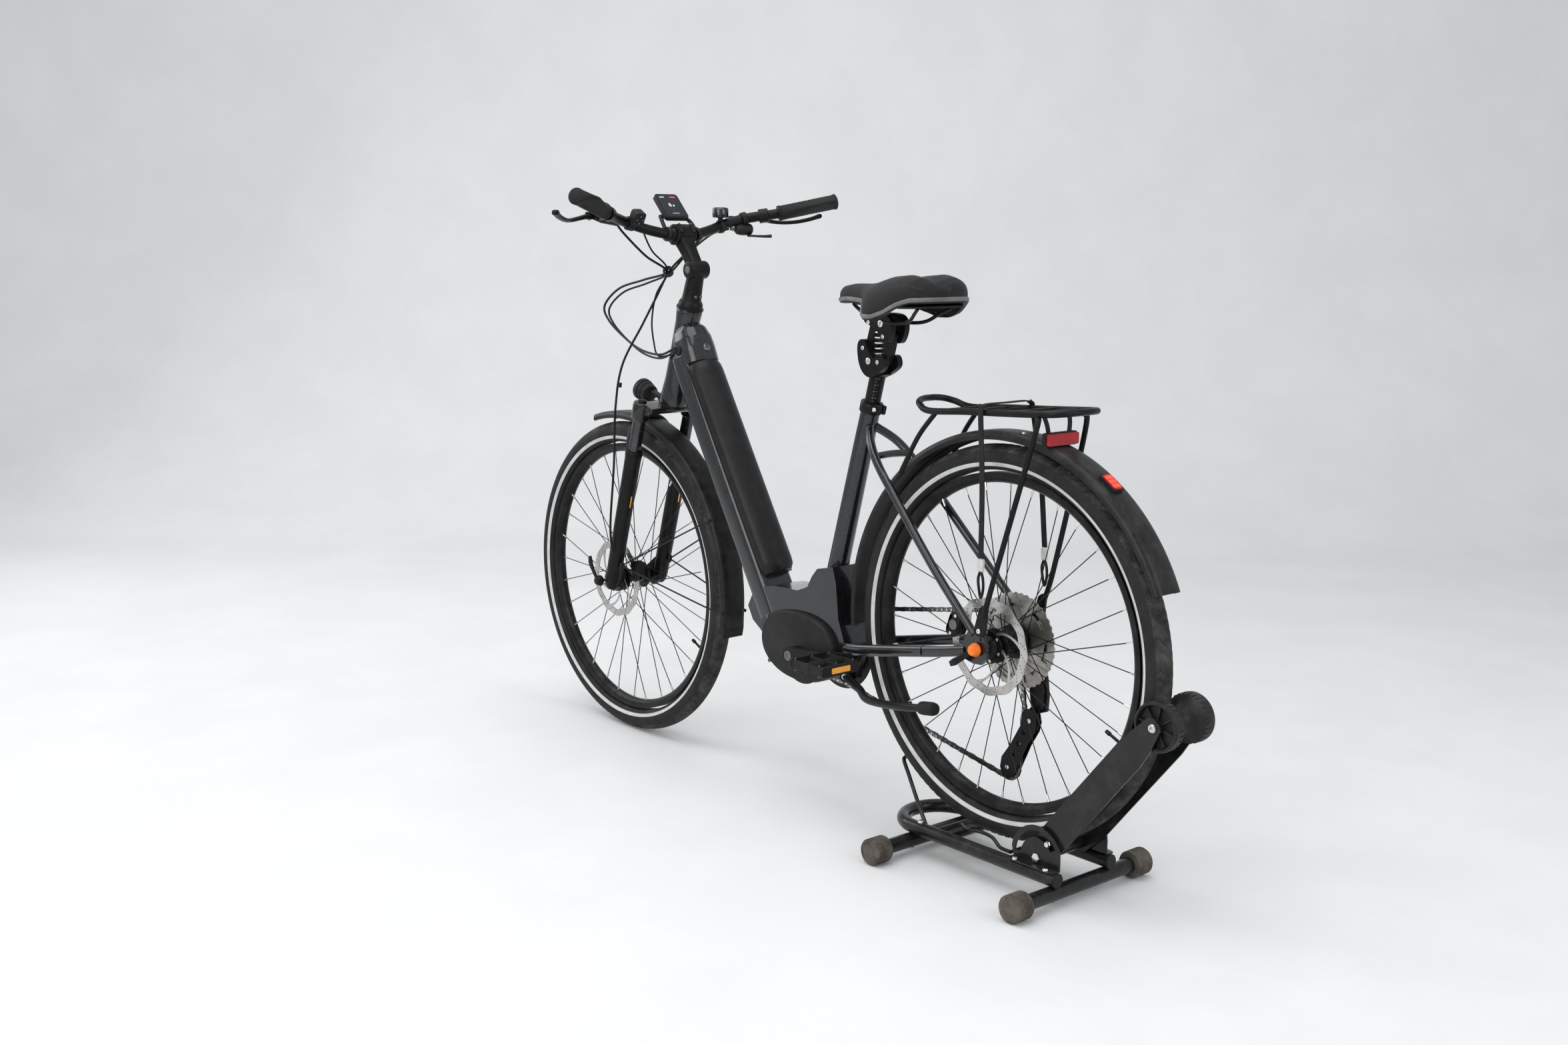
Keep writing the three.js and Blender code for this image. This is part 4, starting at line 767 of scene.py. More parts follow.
CHAINSTAY = [at(396, 30, 343), at(366, 48, 349), at(300, 60, 362), at(200, 70, 382), at(100, 73, 401), at(30, 72, 416)]
SEATSTAY = [at(356, 8, 784), at(325, 34, 758), at(290, 48, 722), at(240, 55, 672), at(120, 66, 552), at(10, 72, 450)]
body = Maker("frame_tubes")
head_profile = [(18.6, 0), (31, 0), (32.2, 3), (32.2, 14), (30, 22), (27.5, 60), (26.4, 120), (26.4, 190), (28, 206),
                (28.6, 217), (27.4, 220), (18.6, 220)]
body.add(turned(head_profile, HEAD_LOW, 64, HEAD_UP), "frame_paint")
lower = [down(-14, 27), down(60, 27), down(200, 27), down(340, 28), down(470, 30), down(566, 35), down(596, 40)]
body.add(section_tube(lower, 84, 56, 15, DOWN_OUT, scale=([0, 0.93, 0.97, 1], [1, 1, 0.93, 0.78])), "frame_paint")
neck = [down(560, 47), down(596, 52), down(622, 55), down(650, 58)]
body.add(section_tube(neck, 82, 82, 31, DOWN_OUT, 8, 10, ([0, 0.3, 0.6, 0.85, 1], [1.0, 0.99, 0.94, 0.80, 0.55])),
         "frame_paint")
seat = [post(-462), post(-330), post(-180), post(-60), post(7)]
body.add(tube(seat, 20, 40, 8, ([0, 0.25, 0.75, 1.0], [1.16, 1.06, 0.98, 0.93])), "frame_paint")
shell_outline = [at(x, 0, z) for x, z in ((382, 334), (404, 331), (640, 331), (672, 352), (688, 380), (672, 410),
                                          (640, 428), (600, 436), (530, 438),
                 (500, 450), (486, 474), (470, 492), (424, 502), (414, 470), (406, 400), (392, 366))]
body.add(side_plate(shell_outline, -39.5, 39.5), "frame_paint")
for side in (1, -1):
    mirror = np.array([1, side, 1])
    stay = [p * mirror for p in CHAINSTAY]
    body.add(section_tube(stay, 17, 24, 8, (0, 0, 1), 5, 8, ([0, 0.2, 1], [1.05, 1.0, 0.8])), "frame_paint")
    body.add(tube([p * mirror for p in SEATSTAY], 8.4, 20, 10, ([0, 0.1, 0.9, 1], [1.0, 1.0, 0.95, 0.85])),
             "frame_paint")
    dropout = [at(x, 0, z) for x, z in ((44, 405), (40, 424), (30, 442), (20, 462), (4, 464), (-12, 452), (-20, 436),
                                        (-21, 410), (-10, 398), (10, 397), (30, 402))]
    low_y, high_y = (66.6, 74.4) if side > 0 else (-74.4, -66.6)
    body.add(side_plate(dropout, low_y, high_y, [circle(REAR_HUB, 6.6), circle(at(-8, 0, 444), 3, 12)]), "frame_paint")
    body.add(weld(at(136, 71.5 * side, 394.6), (0.98, 0, -0.17), 9.6, 1.3, 1.1, 18), "frame_paint")
body.add(tube([at(303, -46, 735), at(304, 0, 737), at(303, 46, 735)], 7, 16, 6), "frame_paint")
body.add(side_plate([at(x, 0, z) for x, z in ((334, 298), (362, 291), (370, 312), (374, 342), (330, 350))], 40, 56),
         "frame_paint")
body.add(weld(post(-2), SEAT_UP, 19.6, 0.9, 1, 30), "frame_paint")
collar = [(16, -12), (21.5, -12), (22.4, -10.5), (22.4, 6.5), (21.5, 8), (16, 8)]
body.add(turned(collar, post(1), 48, SEAT_UP), "satin_black")
clamp_axes = (SEAT_UP, np.array([0, 1.0, 0]), np.cross(SEAT_UP, [0, 1.0, 0]))
for side in (1, -1):
    body.add(block(post(0) - np.array([0.0235, -0.006 * side, 0.004]), clamp_axes, (18, 8, 15), 3), "satin_black")
    port = [(0.01, 0), (10.5, 0), (9.5, 3.2), (6, 4.2), (5, 2.6), (0.01, 2.6)]
    body.add(turned(port, at(926, 40.5 * side, 900), 32, (0, side, 0)), "moulded_black")
body.add(screw(post(0, 14) - np.array([0.0235, 0, 0.004]), (0, 1, 0), 4.4, 3), "bright_steel")
body.add(rod(post(-1, -14) - np.array([0.0235, 0, 0.004]), post(-1, 14) - np.array([0.0235, 0, 0.004]), 2.6, sides=12),
         "bright_steel")
body.add(turned([(10, 218.5), (29.2, 218.5), (30, 220), (29.4, 223), (26, 224.5), (10, 224.5)], HEAD_LOW, 48, HEAD_UP),
         "satin_black")
body.add(turned([(10, -5), (32, -5), (33, -3.4), (33, -0.5), (32, 0.6), (10, 0.6)], HEAD_LOW, 48, HEAD_UP),
         "satin_black")
body.done("frame", "main_frame", bevel=0.0022)

# %% [markdown]
# ## Motor, battery cover and lock
# The motor hides under layered mouldings: a broad cover with a raised rim, and the round drive housing.

# %% Motor and battery
MOTOR = [(436, 384), (408, 352), (402, 318), (418, 282), (458, 258), (520, 252), (580, 262), (624, 292), (636, 330),
         (622, 366), (590, 392), (500, 400)]


def swollen(outline, centre, scale, rounds=3):
    """An outline scaled about a centre, its corners cut in turn to a smooth curve (each side gives points at 1/4 and
    3/4)."""
    p = (np.asarray(outline, float) - centre) * scale + centre
    for _ in range(rounds):
        q = np.roll(p, -1, 0)
        p = np.stack([0.75 * p + 0.25 * q, 0.25 * p + 0.75 * q], 1).reshape(-1, 2)
    return [at(x, 0, z) for x, z in p]


def domed(outline_mm, base, layers, finish_name, piece):
    """Stacked plates that shrink as they rise: each layer is (scale, height) about the outline's middle."""
    loop = np.array([[p[0], p[2]] for p in outline_mm])
    middle = loop.mean(0)
    P = []
    for scale, height in layers:
        flat = (loop - middle) * scale + middle
        P.append(np.stack([flat[:, 0], np.full(len(flat), (base + height) / 1000), flat[:, 1]], 1))
    piece.add(grid(np.array(P), ring_v=True, caps=True), finish_name)


motor = Maker("motor_covers")
middle = np.array([515, 325])
domed(swollen(MOTOR, middle, 0.985), -44, [(0.95, 0), (0.985, 3), (1, 8), (1, 88), (0.985, 94), (0.95, 97.6)],
      "moulded_black", motor)
for side, face in ((1, 53.4), (-1, -43.6)):
    ring_centre = CRANK_AXIS + np.array([0, face / 1000, 0])
    ridge = [(0.01, 0.2), (50, 0.2), (52, -3), (62, -3), (64, -1), (63, 1.4), (53, 1.4), (50, 2.0), (0.01, 2.0)]
    motor.add(turned([(r, h * side) for r, h in ridge], ring_centre - np.array([0, 0.0022 * side, 0]), 96, (0, 1, 0)),
              "cover_black")
motor_trim = [(430, 372), (412, 344), (410, 318), (424, 290), (460, 268), (500, 262), (470, 300), (452, 340),
              (458, 376)]
domed(swollen(motor_trim, np.array([440, 320]), 1.0, 2), 50.8, [(1.0, 0), (1.0, 1.4), (0.97, 2.6)], "cover_black",
      motor)
for x, z in ((602, 280), (610, 372), (425, 300)):
    motor.add(screw(at(x, 51.6, z), (0, 1, 0), 4.2, 1.8), "dark_steel")
motor.done("frame", "motor_unit", smooth=50)

cover = Maker("battery_shell")
span = np.linspace(0, 1, 40)
a = np.radians(np.linspace(180, 0, 33))
swell = 1 - 0.16 * np.maximum(0, (span - 0.955) / 0.045) ** 2 - 0.22 * np.maximum(0, (0.04 - span) / 0.04) ** 2
arch = np.stack([40.8 * np.cos(a), 8 + 27.6 * np.sin(a)], 1)
arch = np.vstack([[-40.8, 0.4], arch, [40.8, 0.4], [20, 0.2], [0, 0.2], [-20, 0.2]])
start, stop = down(64.5, 56.3), down(557.5, 56.3)
P = start + (stop - start) * span[:, None, None] + (np.array([0, 1.0, 0]) * arch[None, :, :1] * swell[:, None, None]
    + DOWN_OUT * arch[None, :, 1:] * swell[:, None, None]) / 1000
cover.add(grid(P, ring_v=True, caps=True), "cover_black")
cover.done("battery", "battery_cover", smooth=50)

seam = Maker("battery_seams")
for side in (1, -1):
    seam.add(rod(down(66, 56.6, 41.2 * side), down(556, 56.6, 41.2 * side), 0.9, sides=8), "soft_rubber")
seam.add(block(down(72, 58), (DOWN_UP, np.array([0, 1.0, 0]), DOWN_OUT), (16, 66, 6), 3), "moulded_black")
seam.done("battery")
lock = Maker("lock_barrel")
lock_profile = [(0.01, 64), (8.8, 64), (8.8, 92.5), (8.0, 94.2), (6.6, 94.8), (6.2, 93.4), (0.01, 93.4)]
lock.add(turned(lock_profile, down(580, 0), 40, DOWN_OUT), "dark_steel")
lock.add(block(down(580, 93.6), (DOWN_UP, np.array([0, 1.0, 0]), DOWN_OUT), (7, 1.8, 0.8), 0.4), "moulded_black")
lock.done("battery_lock", "battery_lock")
frame["nodes"]["battery_pack"].data.materials[0] = FINISHES["moulded_black"]
# %% [markdown]
# ## Mudguards and lamps
# A mudguard is one curved sheet: its section is drawn once, turned round the wheel's hub and closed at both
# ends. A flat lamp with a lit red window is set into the rear one, and the front one has thin wire stays.

# %% Mudguards
def mudguard(hub, first, last, body_steps=90):
    """Section points (r, y) turned from `first` to `last` degrees; the ends are closed by one face each."""
    outer = [(372, 31.4), (376, 31.2), (381, 29.8), (384.6, 26.5), (386, 20), (386.4, 8), (386.4, -8), (386, -20),
             (384.6, -26.5), (381, -29.8), (376, -31.2), (372, -31.4)]
    inner = [(r - 2.2, s * 0.93) for r, s in outer][::-1]
    section = np.array(outer + inner) / 1000
    a = np.radians(np.linspace(first, last, body_steps))
    P = hub + np.stack([section[None, :, 0] * np.cos(a)[:, None],
                        np.broadcast_to(section[None, :, 1], (body_steps, len(section))),
                        section[None, :, 0] * np.sin(a)[:, None]], -1)
    return grid(P, ring_v=True, caps=True)


guard = Maker("rear_guard").add(mudguard(REAR_HUB, -5, 157), "guard_black")
LAMP_TURN = math.radians(125.3)
lamp_out = np.array([math.cos(LAMP_TURN), 0, math.sin(LAMP_TURN)])
lamp_axes = (np.array([-math.sin(LAMP_TURN), 0, math.cos(LAMP_TURN)]), LEFT, lamp_out)
lamp_seat = round_hub(REAR_HUB, 388.4, 125.3)
guard.add(block(lamp_seat, lamp_axes, (42, 28, 6), 7), "moulded_black")
guard.add(block(lamp_seat + lamp_out * 0.0018, lamp_axes, (36, 23, 6), 6), "red_lens")
for k in (-1, 0, 1):
    guard.add(block(lamp_seat + lamp_out * 0.0042 + lamp_axes[0] * 0.0100 * k, lamp_axes, (7.5, 17, 2.4), 2), "lit_red")
for side in (1, -1):
    guard.add(screw(round_hub(REAR_HUB, 386.6, 96, 14 * side),
                    (math.cos(math.radians(96)), 0, math.sin(math.radians(96))), 3.4, 2), "bright_steel")
guard.done("frame", "rear_mudguard", smooth=50)

guard = Maker("front_guard").add(mudguard(FRONT_HUB, 74, 188, 70), "guard_black")
for side in (1, -1):
    foot = steer(-392, -0.5, side * 68)
    for angle in (152, 183):
        tip = round_hub(FRONT_HUB, 378, angle, side * 30.5)
        knee = foot + (tip - foot) * 0.9 + np.array([0, side * 0.004, 0])
        guard.add(tube([foot, foot + (tip - foot) * 0.5 + np.array([0, side * 0.003, 0]), knee, tip], 1.8, 10, 6),
                  "black_spoke")
        guard.add(rod(round_hub(FRONT_HUB, 370, angle, side * 31), round_hub(FRONT_HUB, 384, angle, side * 31), 3.6,
                      sides=12, rim=0.6), "moulded_black")
    guard.add(rod(steer(-384, -0.5, side * 68), steer(-400, -0.5, side * 68), 5, sides=16, rim=0.8), "moulded_black")
flap = [round_hub(FRONT_HUB, r, a) for r, a in ((384, 183), (386, 188.5), (385, 191.4), (378, 191.4), (377, 183))]
guard.add(side_plate(flap, -27, 27), "soft_rubber")
guard.add(tube([steer(-78, 62), steer(-72, 44), steer(-68, 22)], 4.5, 12, 5), "satin_black")
guard.done("fork_lowers", "front_mudguard", smooth=50)

# %% [markdown]
# The headlamp is a drum with a domed glass and a ribbed back, on the fork crown's bracket.

# %% Headlamp
lamp = Maker("headlamp")
beam_at = steer(-11, 84)
lamp.add(turned([(0.01, 0), (15, 0), (19.5, 3), (20.6, 8), (21, 16), (22.6, 17), (22.8, 26), (24.6, 27), (25, 37),
                 (24.2, 38.6), (22.6, 38), (22.4, 34), (0.01, 34)],
                beam_at, 56, HEAD_AHEAD), "moulded_black")
lamp.add(turned([(0.01, 33), (22.0, 33), (21.6, 36), (17, 37.6), (9, 38.4), (0.01, 38.6)], beam_at, 48, HEAD_AHEAD),
         "clear_lens")
lamp.add(block(steer(4, 90), (HEAD_AHEAD, LEFT, HEAD_UP), (12, 14, 8), 3), "moulded_black")
lamp.done("steering", "headlight")

# %% [markdown]
# ## Fork
# The crown and its two chromed legs turn with the steering; the lower legs slide on them and are joined by an
# arch over the tyre. Legs are turned shapes with their own swellings at the seal and the dropout.

# %% Fork crown and lower legs
LEG_AHEAD, LEG_SIDE = 23.5, 67.5
crown = Maker("fork_crown_and_legs")
outline = [steer(u, a) for u, a in ((-1.5, -22), (-1.2, 10), (-1.8, 28), (-5, 38), (-11, 42.5), (-17, 41), (-17.5, 10),
                                    (-16, -18), (-9, -24))]
crown.add(side_plate(outline, -74, 74), "crown_gloss")
for side in (1, -1):
    foot = steer(0, LEG_AHEAD, side * LEG_SIDE)
    boot = [(0.01, -4), (9, -2.2), (14, -1.5), (18.4, -3), (19.6, -7), (19.8, -20), (19.2, -38), (17.5, -43),
            (14.2, -44), (13.9, -46), (13.9, -288), (0.01, -288)]
    crown.add(turned([(r, h) for r, h in boot[:9]] + [(0.01, -44)], foot, 48, HEAD_UP), "crown_gloss")
    crown.add(turned([(0.01, -43), (13.8, -43), (13.8, -288), (0.01, -288)], foot, 48, HEAD_UP), "black_chrome")
    knob = [(0.01, 3.5), (6, 3.3), (8.4, 2.4), (9.4, 0.8), (10.4, -2), (0.01, -2)]
    crown.add(turned(knob, foot, 24, HEAD_UP), "satin_black")
crown.add(turned([(0.01, -16), (17.6, -16), (17.6, 233), (0.01, 233)], HEAD_LOW, 40, HEAD_UP), "satin_black")
arm = [steer(-14, 38), steer(-14.5, 46), steer(-8, 47), steer(-4, 83), steer(1.6, 84), steer(-1, 38)]
crown.add(side_plate(arm, -8, 8), "satin_black")
crown.done("steering", "fork_crown", bevel=0.0018)

lowers = Maker("fork_lower_legs")
for side in (1, -1):
    foot = steer(0, LEG_AHEAD, side * LEG_SIDE)
    leg = [(14.8, -118.4), (18.6, -118.6), (19.6, -120.5), (19.8, -126), (18.8, -134), (18.4, -150), (18.2, -300),
           (17.6, -400), (17.0, -436), (15.5, -452), (11, -460), (0.01, -462), (0.01, -350), (14.8, -350)]
    lowers.add(turned(leg, foot, 44, HEAD_UP), "satin_black")
    lowers.add(turned([(14.1, -117.4), (17.4, -117.4), (18.0, -118.8), (14.1, -118.8)], foot, 40, HEAD_UP),
               "soft_rubber")
    end = [steer(u, a) for u, a in ((-471, 53), (-468, 60), (-452, 64), (-436, 62), (-424, 52), (-402, 36), (-396, 20),
                                    (-408, 10), (-452, 8), (-468, 22))]
    low_y, high_y = (52.3, 61.7) if side > 0 else (-61.7, -52.3)
    lowers.add(side_plate(end, low_y, high_y, [circle(FRONT_HUB, 6.6)]), "satin_black")
    sticker = rod(steer(-222, LEG_AHEAD - 17.0, side * LEG_SIDE), steer(-250, LEG_AHEAD - 16.9, side * LEG_SIDE), 2.0,
                  sides=12, rim=0.6)
    lowers.add(sticker, "amber_lens")
half = [steer(-134, 30, 67), steer(-112, 52, 62), steer(-84, 66, 48), steer(-64, 70, 26)]
arch = [*half, steer(-57, 71), *[p * np.array([1, -1, 1]) for p in half[::-1]]]
lowers.add(section_tube(arch, 12, 17, 5, HEAD_AHEAD, 5, 8), "satin_black")
lowers.done("fork_lowers", "fork_lowers", bevel=0.0012)


# %% [markdown]
# ## Axle levers and brake calipers
# A quick-release lever is a flattened, curved paddle on a cam housing. Each caliper is a small casting in two
# halves joined by a bridge, and the rear one also has a bore cover and bolts.

# %% Levers and calipers
def axle_lever(name, body, node, hub, half, angle, cap):
    """The skewer, its cam housing, a paddle that swells towards its tip, and the nut at the other end."""
    piece = Maker(name)
    side = np.array([0, 1.0, 0])
    piece.add(rod(hub - side * (half + 0.5) / 1000, hub + side * half / 1000, 4.6, sides=16), "bright_steel")
    piece.add(turned([(0.01, half), (11, half), (12.4, half + 2), (12.4, half + 6), (9.5, half + 13), (8, half + 15),
                      (0.01, half + 15.6)], hub, 32), cap)
    path = [hub + side * (half + 9) / 1000, round_hub(hub, 22, angle, half + 13),
            round_hub(hub, 42, angle + 2, half + 15.5), round_hub(hub, 60, angle + 4, half + 14)]
    piece.add(section_tube(path, 12, 5.4, 2.6, (0, 1, 0), 4, 8, ([0, 0.3, 0.75, 1], [0.9, 0.8, 1.15, 0.85])),
              "satin_black")
    piece.add(turned([(0.01, -half), (9, -half), (10, -half + 2), (10, -half + 7), (0.01, -half + 7)], hub, 20),
              "satin_black")
    return piece.done(body, node, bevel=0.0006)


axle_lever("rear_axle_lever", "rear_quick_release", "rear_quick_release", REAR_HUB, 76, -38, "orange_cap")
axle_lever("front_axle_lever", "front_quick_release", "front_quick_release", FRONT_HUB, 85.5, 62, "satin_black")


def caliper(name, body, node, hub, angle, outer, hose_up):
    """Two castings either side of the rotor, joined by a bridge, along the rotor's edge."""
    piece = Maker(name)
    out = np.array([math.cos(math.radians(angle)), 0, math.sin(math.radians(angle))])
    tangent = np.array([-out[2], 0, out[0]])
    side = np.array([0, 1.0, 0])
    middle = round_hub(hub, 83, angle)
    for low_y, high_y in ((29.5, 41.2), (44.8, outer)):
        centre = middle + side * (low_y + high_y) / 2000
        piece.add(block(centre, (tangent, out, side), (46, 26, max(high_y - low_y, 1.2)), 8), "satin_black")
    piece.add(block(middle + out * 0.0105 + side * (29.5 + outer) / 2000, (tangent, out, side), (30, 6, outer - 29.5),
                    2), "satin_black")
    if outer > 50:
        piece.add(turned([(0.01, 0), (9.6, 0), (9.6, 0.8), (7.6, 1.4), (7.2, 0.6), (0.01, 0.6)],
                         middle + side * outer / 1000, 32), "dark_steel")
        for s in (-18, 18):
            piece.add(screw(middle + tangent * s / 1000 + side * outer / 1000, (0, 1, 0), 3.2, 1.6, 18), "bright_steel")
    return piece.done(body, node, bevel=0.0012)


caliper("rear_brake_caliper", "frame", "rear_caliper", REAR_HUB, 20, 56.5, True)
caliper("front_brake_caliper", "fork_lowers", "front_caliper", FRONT_HUB, 160, 45.6, True)

# %% [markdown]
# ## Floor stand
# Bent steel tube, two round cross tubes in ribbed rubber feet, pressed brackets with an arc slot, a pair of
# wide arm plates and a waisted roller of two ribbed cones. A torsion spring winds round the pivot.

# %% Tubes and feet of the stand
ARM_PIVOT, ARM_ROLLER = at(-144, 0, 77), at(-374, 0, 364)
FOOT_OUTER = 182


def cross_tube(name, node, x):
    """A straight tube across, with a foot of r = 25 - 1.1 |sin| ribs on each end, flat underneath."""
    piece = Maker(name)
    c = at(x, 0, 25)
    side = np.array([0, 1.0, 0])
    piece.add(rod(c - side * 0.168, c + side * 0.168, 14, sides=40), "stand_paint")
    for s in (1, -1):
        y = np.linspace(FOOT_OUTER - 41, FOOT_OUTER, 43)
        r = 24.9 - 0.9 * (np.cos(2 * np.pi * (y - y[0]) / 5.1) < -0.55)
        r[-3:] = (23.6, 21.0, 17.0)
        r[:2] = (19.0, 23.5)
        a = np.linspace(0, 2 * np.pi, 48, endpoint=False)
        P = np.stack([r[:, None] * np.cos(a), np.broadcast_to((y * s)[:, None], (len(y), 48)), r[:, None] * np.sin(a)],
                     -1) / 1000
        P[..., 2] = np.maximum(P[..., 2], -0.0249)
        piece.add(grid(c + P, ring_v=True, caps=True), "foot_rubber")
        hollow = c + side * s * (FOOT_OUTER + 0.1) / 1000
        piece.add(turned([(0.01, 0), (9, 0), (10.5, 0.5), (11.5, 0.1), (11.5, -0.6), (0.01, -0.6)], hollow, 24,
                         (0, s, 0)), "foot_rubber")
    for bolt in (72, -72):
        piece.add(screw(c + side * bolt / 1000 + np.array([0, 0, -0.0145]), (0, 0, -1), 5, 3, 20, False),
                  "bright_steel")
    return piece.done("stand", node, smooth=50)


cross_tube("stand_rear_cross_tube", "stand_rear_tube", -186)
cross_tube("stand_front_cross_tube", "stand_front_tube", 158)

base = Maker("stand_frame_loop")
turn = [at(150 + 72 * math.cos(math.radians(d)), 72 * math.sin(math.radians(d)), 52.3) for d in np.linspace(90, -90, 9)]
loop = [at(-196, 72, 52.3), at(-100, 72, 52.3), at(40, 72, 52.3), *turn, at(40, -72, 52.3), at(-100, -72, 52.3),
        at(-196, -72, 52.3)]
base.add(tube(loop, 13, 32, 6), "stand_paint")
for side in (1, -1):
    plug = [(0.01, 0), (12, 0), (13.2, 1.2), (13.2, 5), (0.01, 5)]
    base.add(turned([(r, h) for r, h in plug], at(-201, 72 * side, 52.3), 28, (1, 0, 0)), "moulded_black")
    base.add(screw(at(134, 72 * side, 65), (0, 0, 1), 6, 5, 24, False), "bright_steel")
    base.add(screw(at(-178, 72 * side + 8 * side, 67.5), (0, 0, 1), 5.4, 4.6, 24, False), "bright_steel")
    base.add(screw(at(-108, 72 * side + 8 * side, 67.5), (0, 0, 1), 5.4, 4.6, 24, False), "bright_steel")
    edge = [round_hub(ARM_PIVOT, 58, d) for d in np.linspace(8, 150, 20)]
    outline = [at(-194, 0, 64.5), at(-94, 0, 64.5), at(-90, 0, 72), *edge, at(-196, 0, 92), at(-196, 0, 68)]
    slot = [round_hub(ARM_PIVOT, 49.2, d) for d in np.linspace(1, 149, 26)] + [round_hub(ARM_PIVOT, 36.0, d)
        for d in np.linspace(149, 1, 26)]
    low_y, high_y = (62, 65) if side > 0 else (-65, -62)
    base.add(side_plate(outline, low_y, high_y, [np.array([[p[0], p[2]] for p in slot]), circle(ARM_PIVOT, 6.5)]),
             "stand_paint")
    flange = [(-0.052, -0.011), (0.052, -0.011), (0.052, 0.008), (0.046, 0.011), (-0.046, 0.011), (-0.052, 0.008)]
    flange = [(s, t * side) for s, t in flange]
    base.add(plate(flange, 0.0, 0.003, at(-144, 73 * side, 64.6),
                   (np.array([1.0, 0, 0]), np.array([0, 1.0, 0]), np.array([0, 0, 1.0]))), "stand_paint")
    wire = [p * np.array([1, side, 1]) for p in (at(90, 8, 59), at(60, 24, 61), at(20, 33, 70), at(-12, 35, 69),
        at(-34, 37, 57), at(-60, 38, 56))]
    base.add(tube(wire, 3.4, 14, 8), "stand_paint")
    leg = [p * np.array([1, side, 1]) for p in (at(126, 66, 60), at(170, 46, 92), at(214, 26, 127), at(240, 14, 147),
        at(247, 4, 150.5), at(247, 0, 150.5))]
    base.add(tube(leg, 3.9, 14, 8), "stand_paint")
base.add(rod(at(-60, -38, 56), at(-60, 38, 56), 3.4, sides=14), "stand_paint")
for x in (69, 103):
    base.add(rod(at(x, -70, 52.3), at(x, 70, 52.3), 7, sides=24), "stand_paint")
base.done("stand", "stand_base", bevel=0.0007)

# %% Spring, pivot and arm
pivot = Maker("stand_pivot_and_spring")
pivot.add(rod(ARM_PIVOT - LEFT * 0.069, ARM_PIVOT + LEFT * 0.069, 6, sides=20), "dark_steel")
for s in (1, -1):
    pivot.add(screw(ARM_PIVOT + LEFT * 0.0652 * s, LEFT * s, 9, 5.6, 6, False), "bright_steel")
t = np.linspace(0, 1, 240)
coil = ARM_PIVOT + np.stack([13.4 * np.cos(14 * np.pi * t), 18 + 33 * t, 13.4 * np.sin(14 * np.pi * t)], 1) / 1000
tail = [coil[-1], coil[-1] + np.array([0.012, 0.002, -0.004]), at(-112, 52, 68), at(-96, 56, 66.5)]
pivot.add(along(coil, ring(0.0016, 8)), "bright_steel").add(tube(tail, 1.6, 8, 5), "bright_steel")
pivot.done("stand", "stand_pivot_bolt")

arm = Maker("stand_roller_arm")
rise = (ARM_ROLLER - ARM_PIVOT) / np.linalg.norm(ARM_ROLLER - ARM_PIVOT)
wide = np.array([rise[2], 0, -rise[0]])
spot = lambda origin, s, t: origin + rise * s / 1000 + wide * t / 1000
corner_list = [(ARM_PIVOT, -18, -10), (ARM_PIVOT, -20, 0), (ARM_PIVOT, -18, 10), (ARM_PIVOT, -8, 19),
               (ARM_PIVOT, 40, 30), (ARM_PIVOT, 70, 31), (ARM_ROLLER, -70, 29),
               (ARM_ROLLER, -30, 24), (ARM_ROLLER, 6, 18), (ARM_ROLLER, 12, 10), (ARM_ROLLER, 13, -4),
               (ARM_ROLLER, 8, -13), (ARM_ROLLER, -40, -24), (ARM_ROLLER, -70, -27),
               (ARM_PIVOT, 60, -26), (ARM_PIVOT, 30, -22), (ARM_PIVOT, -8, -17)]
for s in (1, -1):
    low_y, high_y = (54.5, 57.5) if s > 0 else (-57.5, -54.5)
    arm.add(side_plate([spot(*c) for c in corner_list], low_y, high_y, [circle(ARM_PIVOT, 6.6)]), "stand_paint")
    arm.add(screw(ARM_ROLLER + LEFT * 0.0575 * s, LEFT * s, 7.4, 4.6, 28), "bright_steel")
    stop = round_hub(ARM_PIVOT, 42.6, 129.3)
    arm.add(rod(stop + LEFT * 0.0575 * s, stop + LEFT * 0.072 * s, 4.4, sides=20), "bright_steel")
    arm.add(screw(stop + LEFT * 0.0655 * s, LEFT * s, 6.2, 5, 6, False), "bright_steel")
arm.add(turned([(6.5, -54), (10, -54), (10, 54), (6.5, 54)], ARM_PIVOT, 28), "stand_paint")
arm.add(rod(ARM_ROLLER - LEFT * 0.057, ARM_ROLLER + LEFT * 0.057, 5, sides=20), "dark_steel")
arm.done("stand_arm", "stand_arm", bevel=0.0007)

# %% Roller
roller = Maker("stand_roller_cones")
reach = math.hypot(ARM_ROLLER[0] - REAR_HUB[0], ARM_ROLLER[2] - REAR_HUB[2]) * 1000 - 336
y = np.linspace(-24, 24, 25)
waist = [(reach - math.sqrt(26 ** 2 - v * v), v) for v in y]
half_cone = [(41.2, 30), (41.6, 36), (42.2, 41), (43.0, 47), (42.6, 51), (41, 52.8), (37.5, 53.0), (36.2, 50),
             (34.5, 44.5), (13, 44.5), (12, 50.5), (5.6, 50.5)]
profile = [(r, -h) for r, h in half_cone[::-1]] + waist + half_cone
roller.add(turned(profile, ARM_ROLLER, 72), "roller_plastic")
for s in (1, -1):
    for k in range(8):
        a = math.radians(45 * k + 12)
        out = np.array([math.cos(a), 0, math.sin(a)])
        web = (out, LEFT, np.cross(out, LEFT))
        roller.add(block(ARM_ROLLER + out * 0.0235 + LEFT * s * 0.0472, web, (24, 6.6, 2.4), 0.8), "roller_plastic")
    for k in range(28):
        a = math.radians(360 / 28 * k)
        out = np.array([math.cos(a), 0, math.sin(a)])
        roller.add(block(ARM_ROLLER + out * 0.0419 + LEFT * s * 0.039, (LEFT, out, np.cross(LEFT, out)), (17, 1.8, 2.0),
                         0.7), "roller_plastic")
roller.done("stand_roller", "stand_roller", smooth=40)
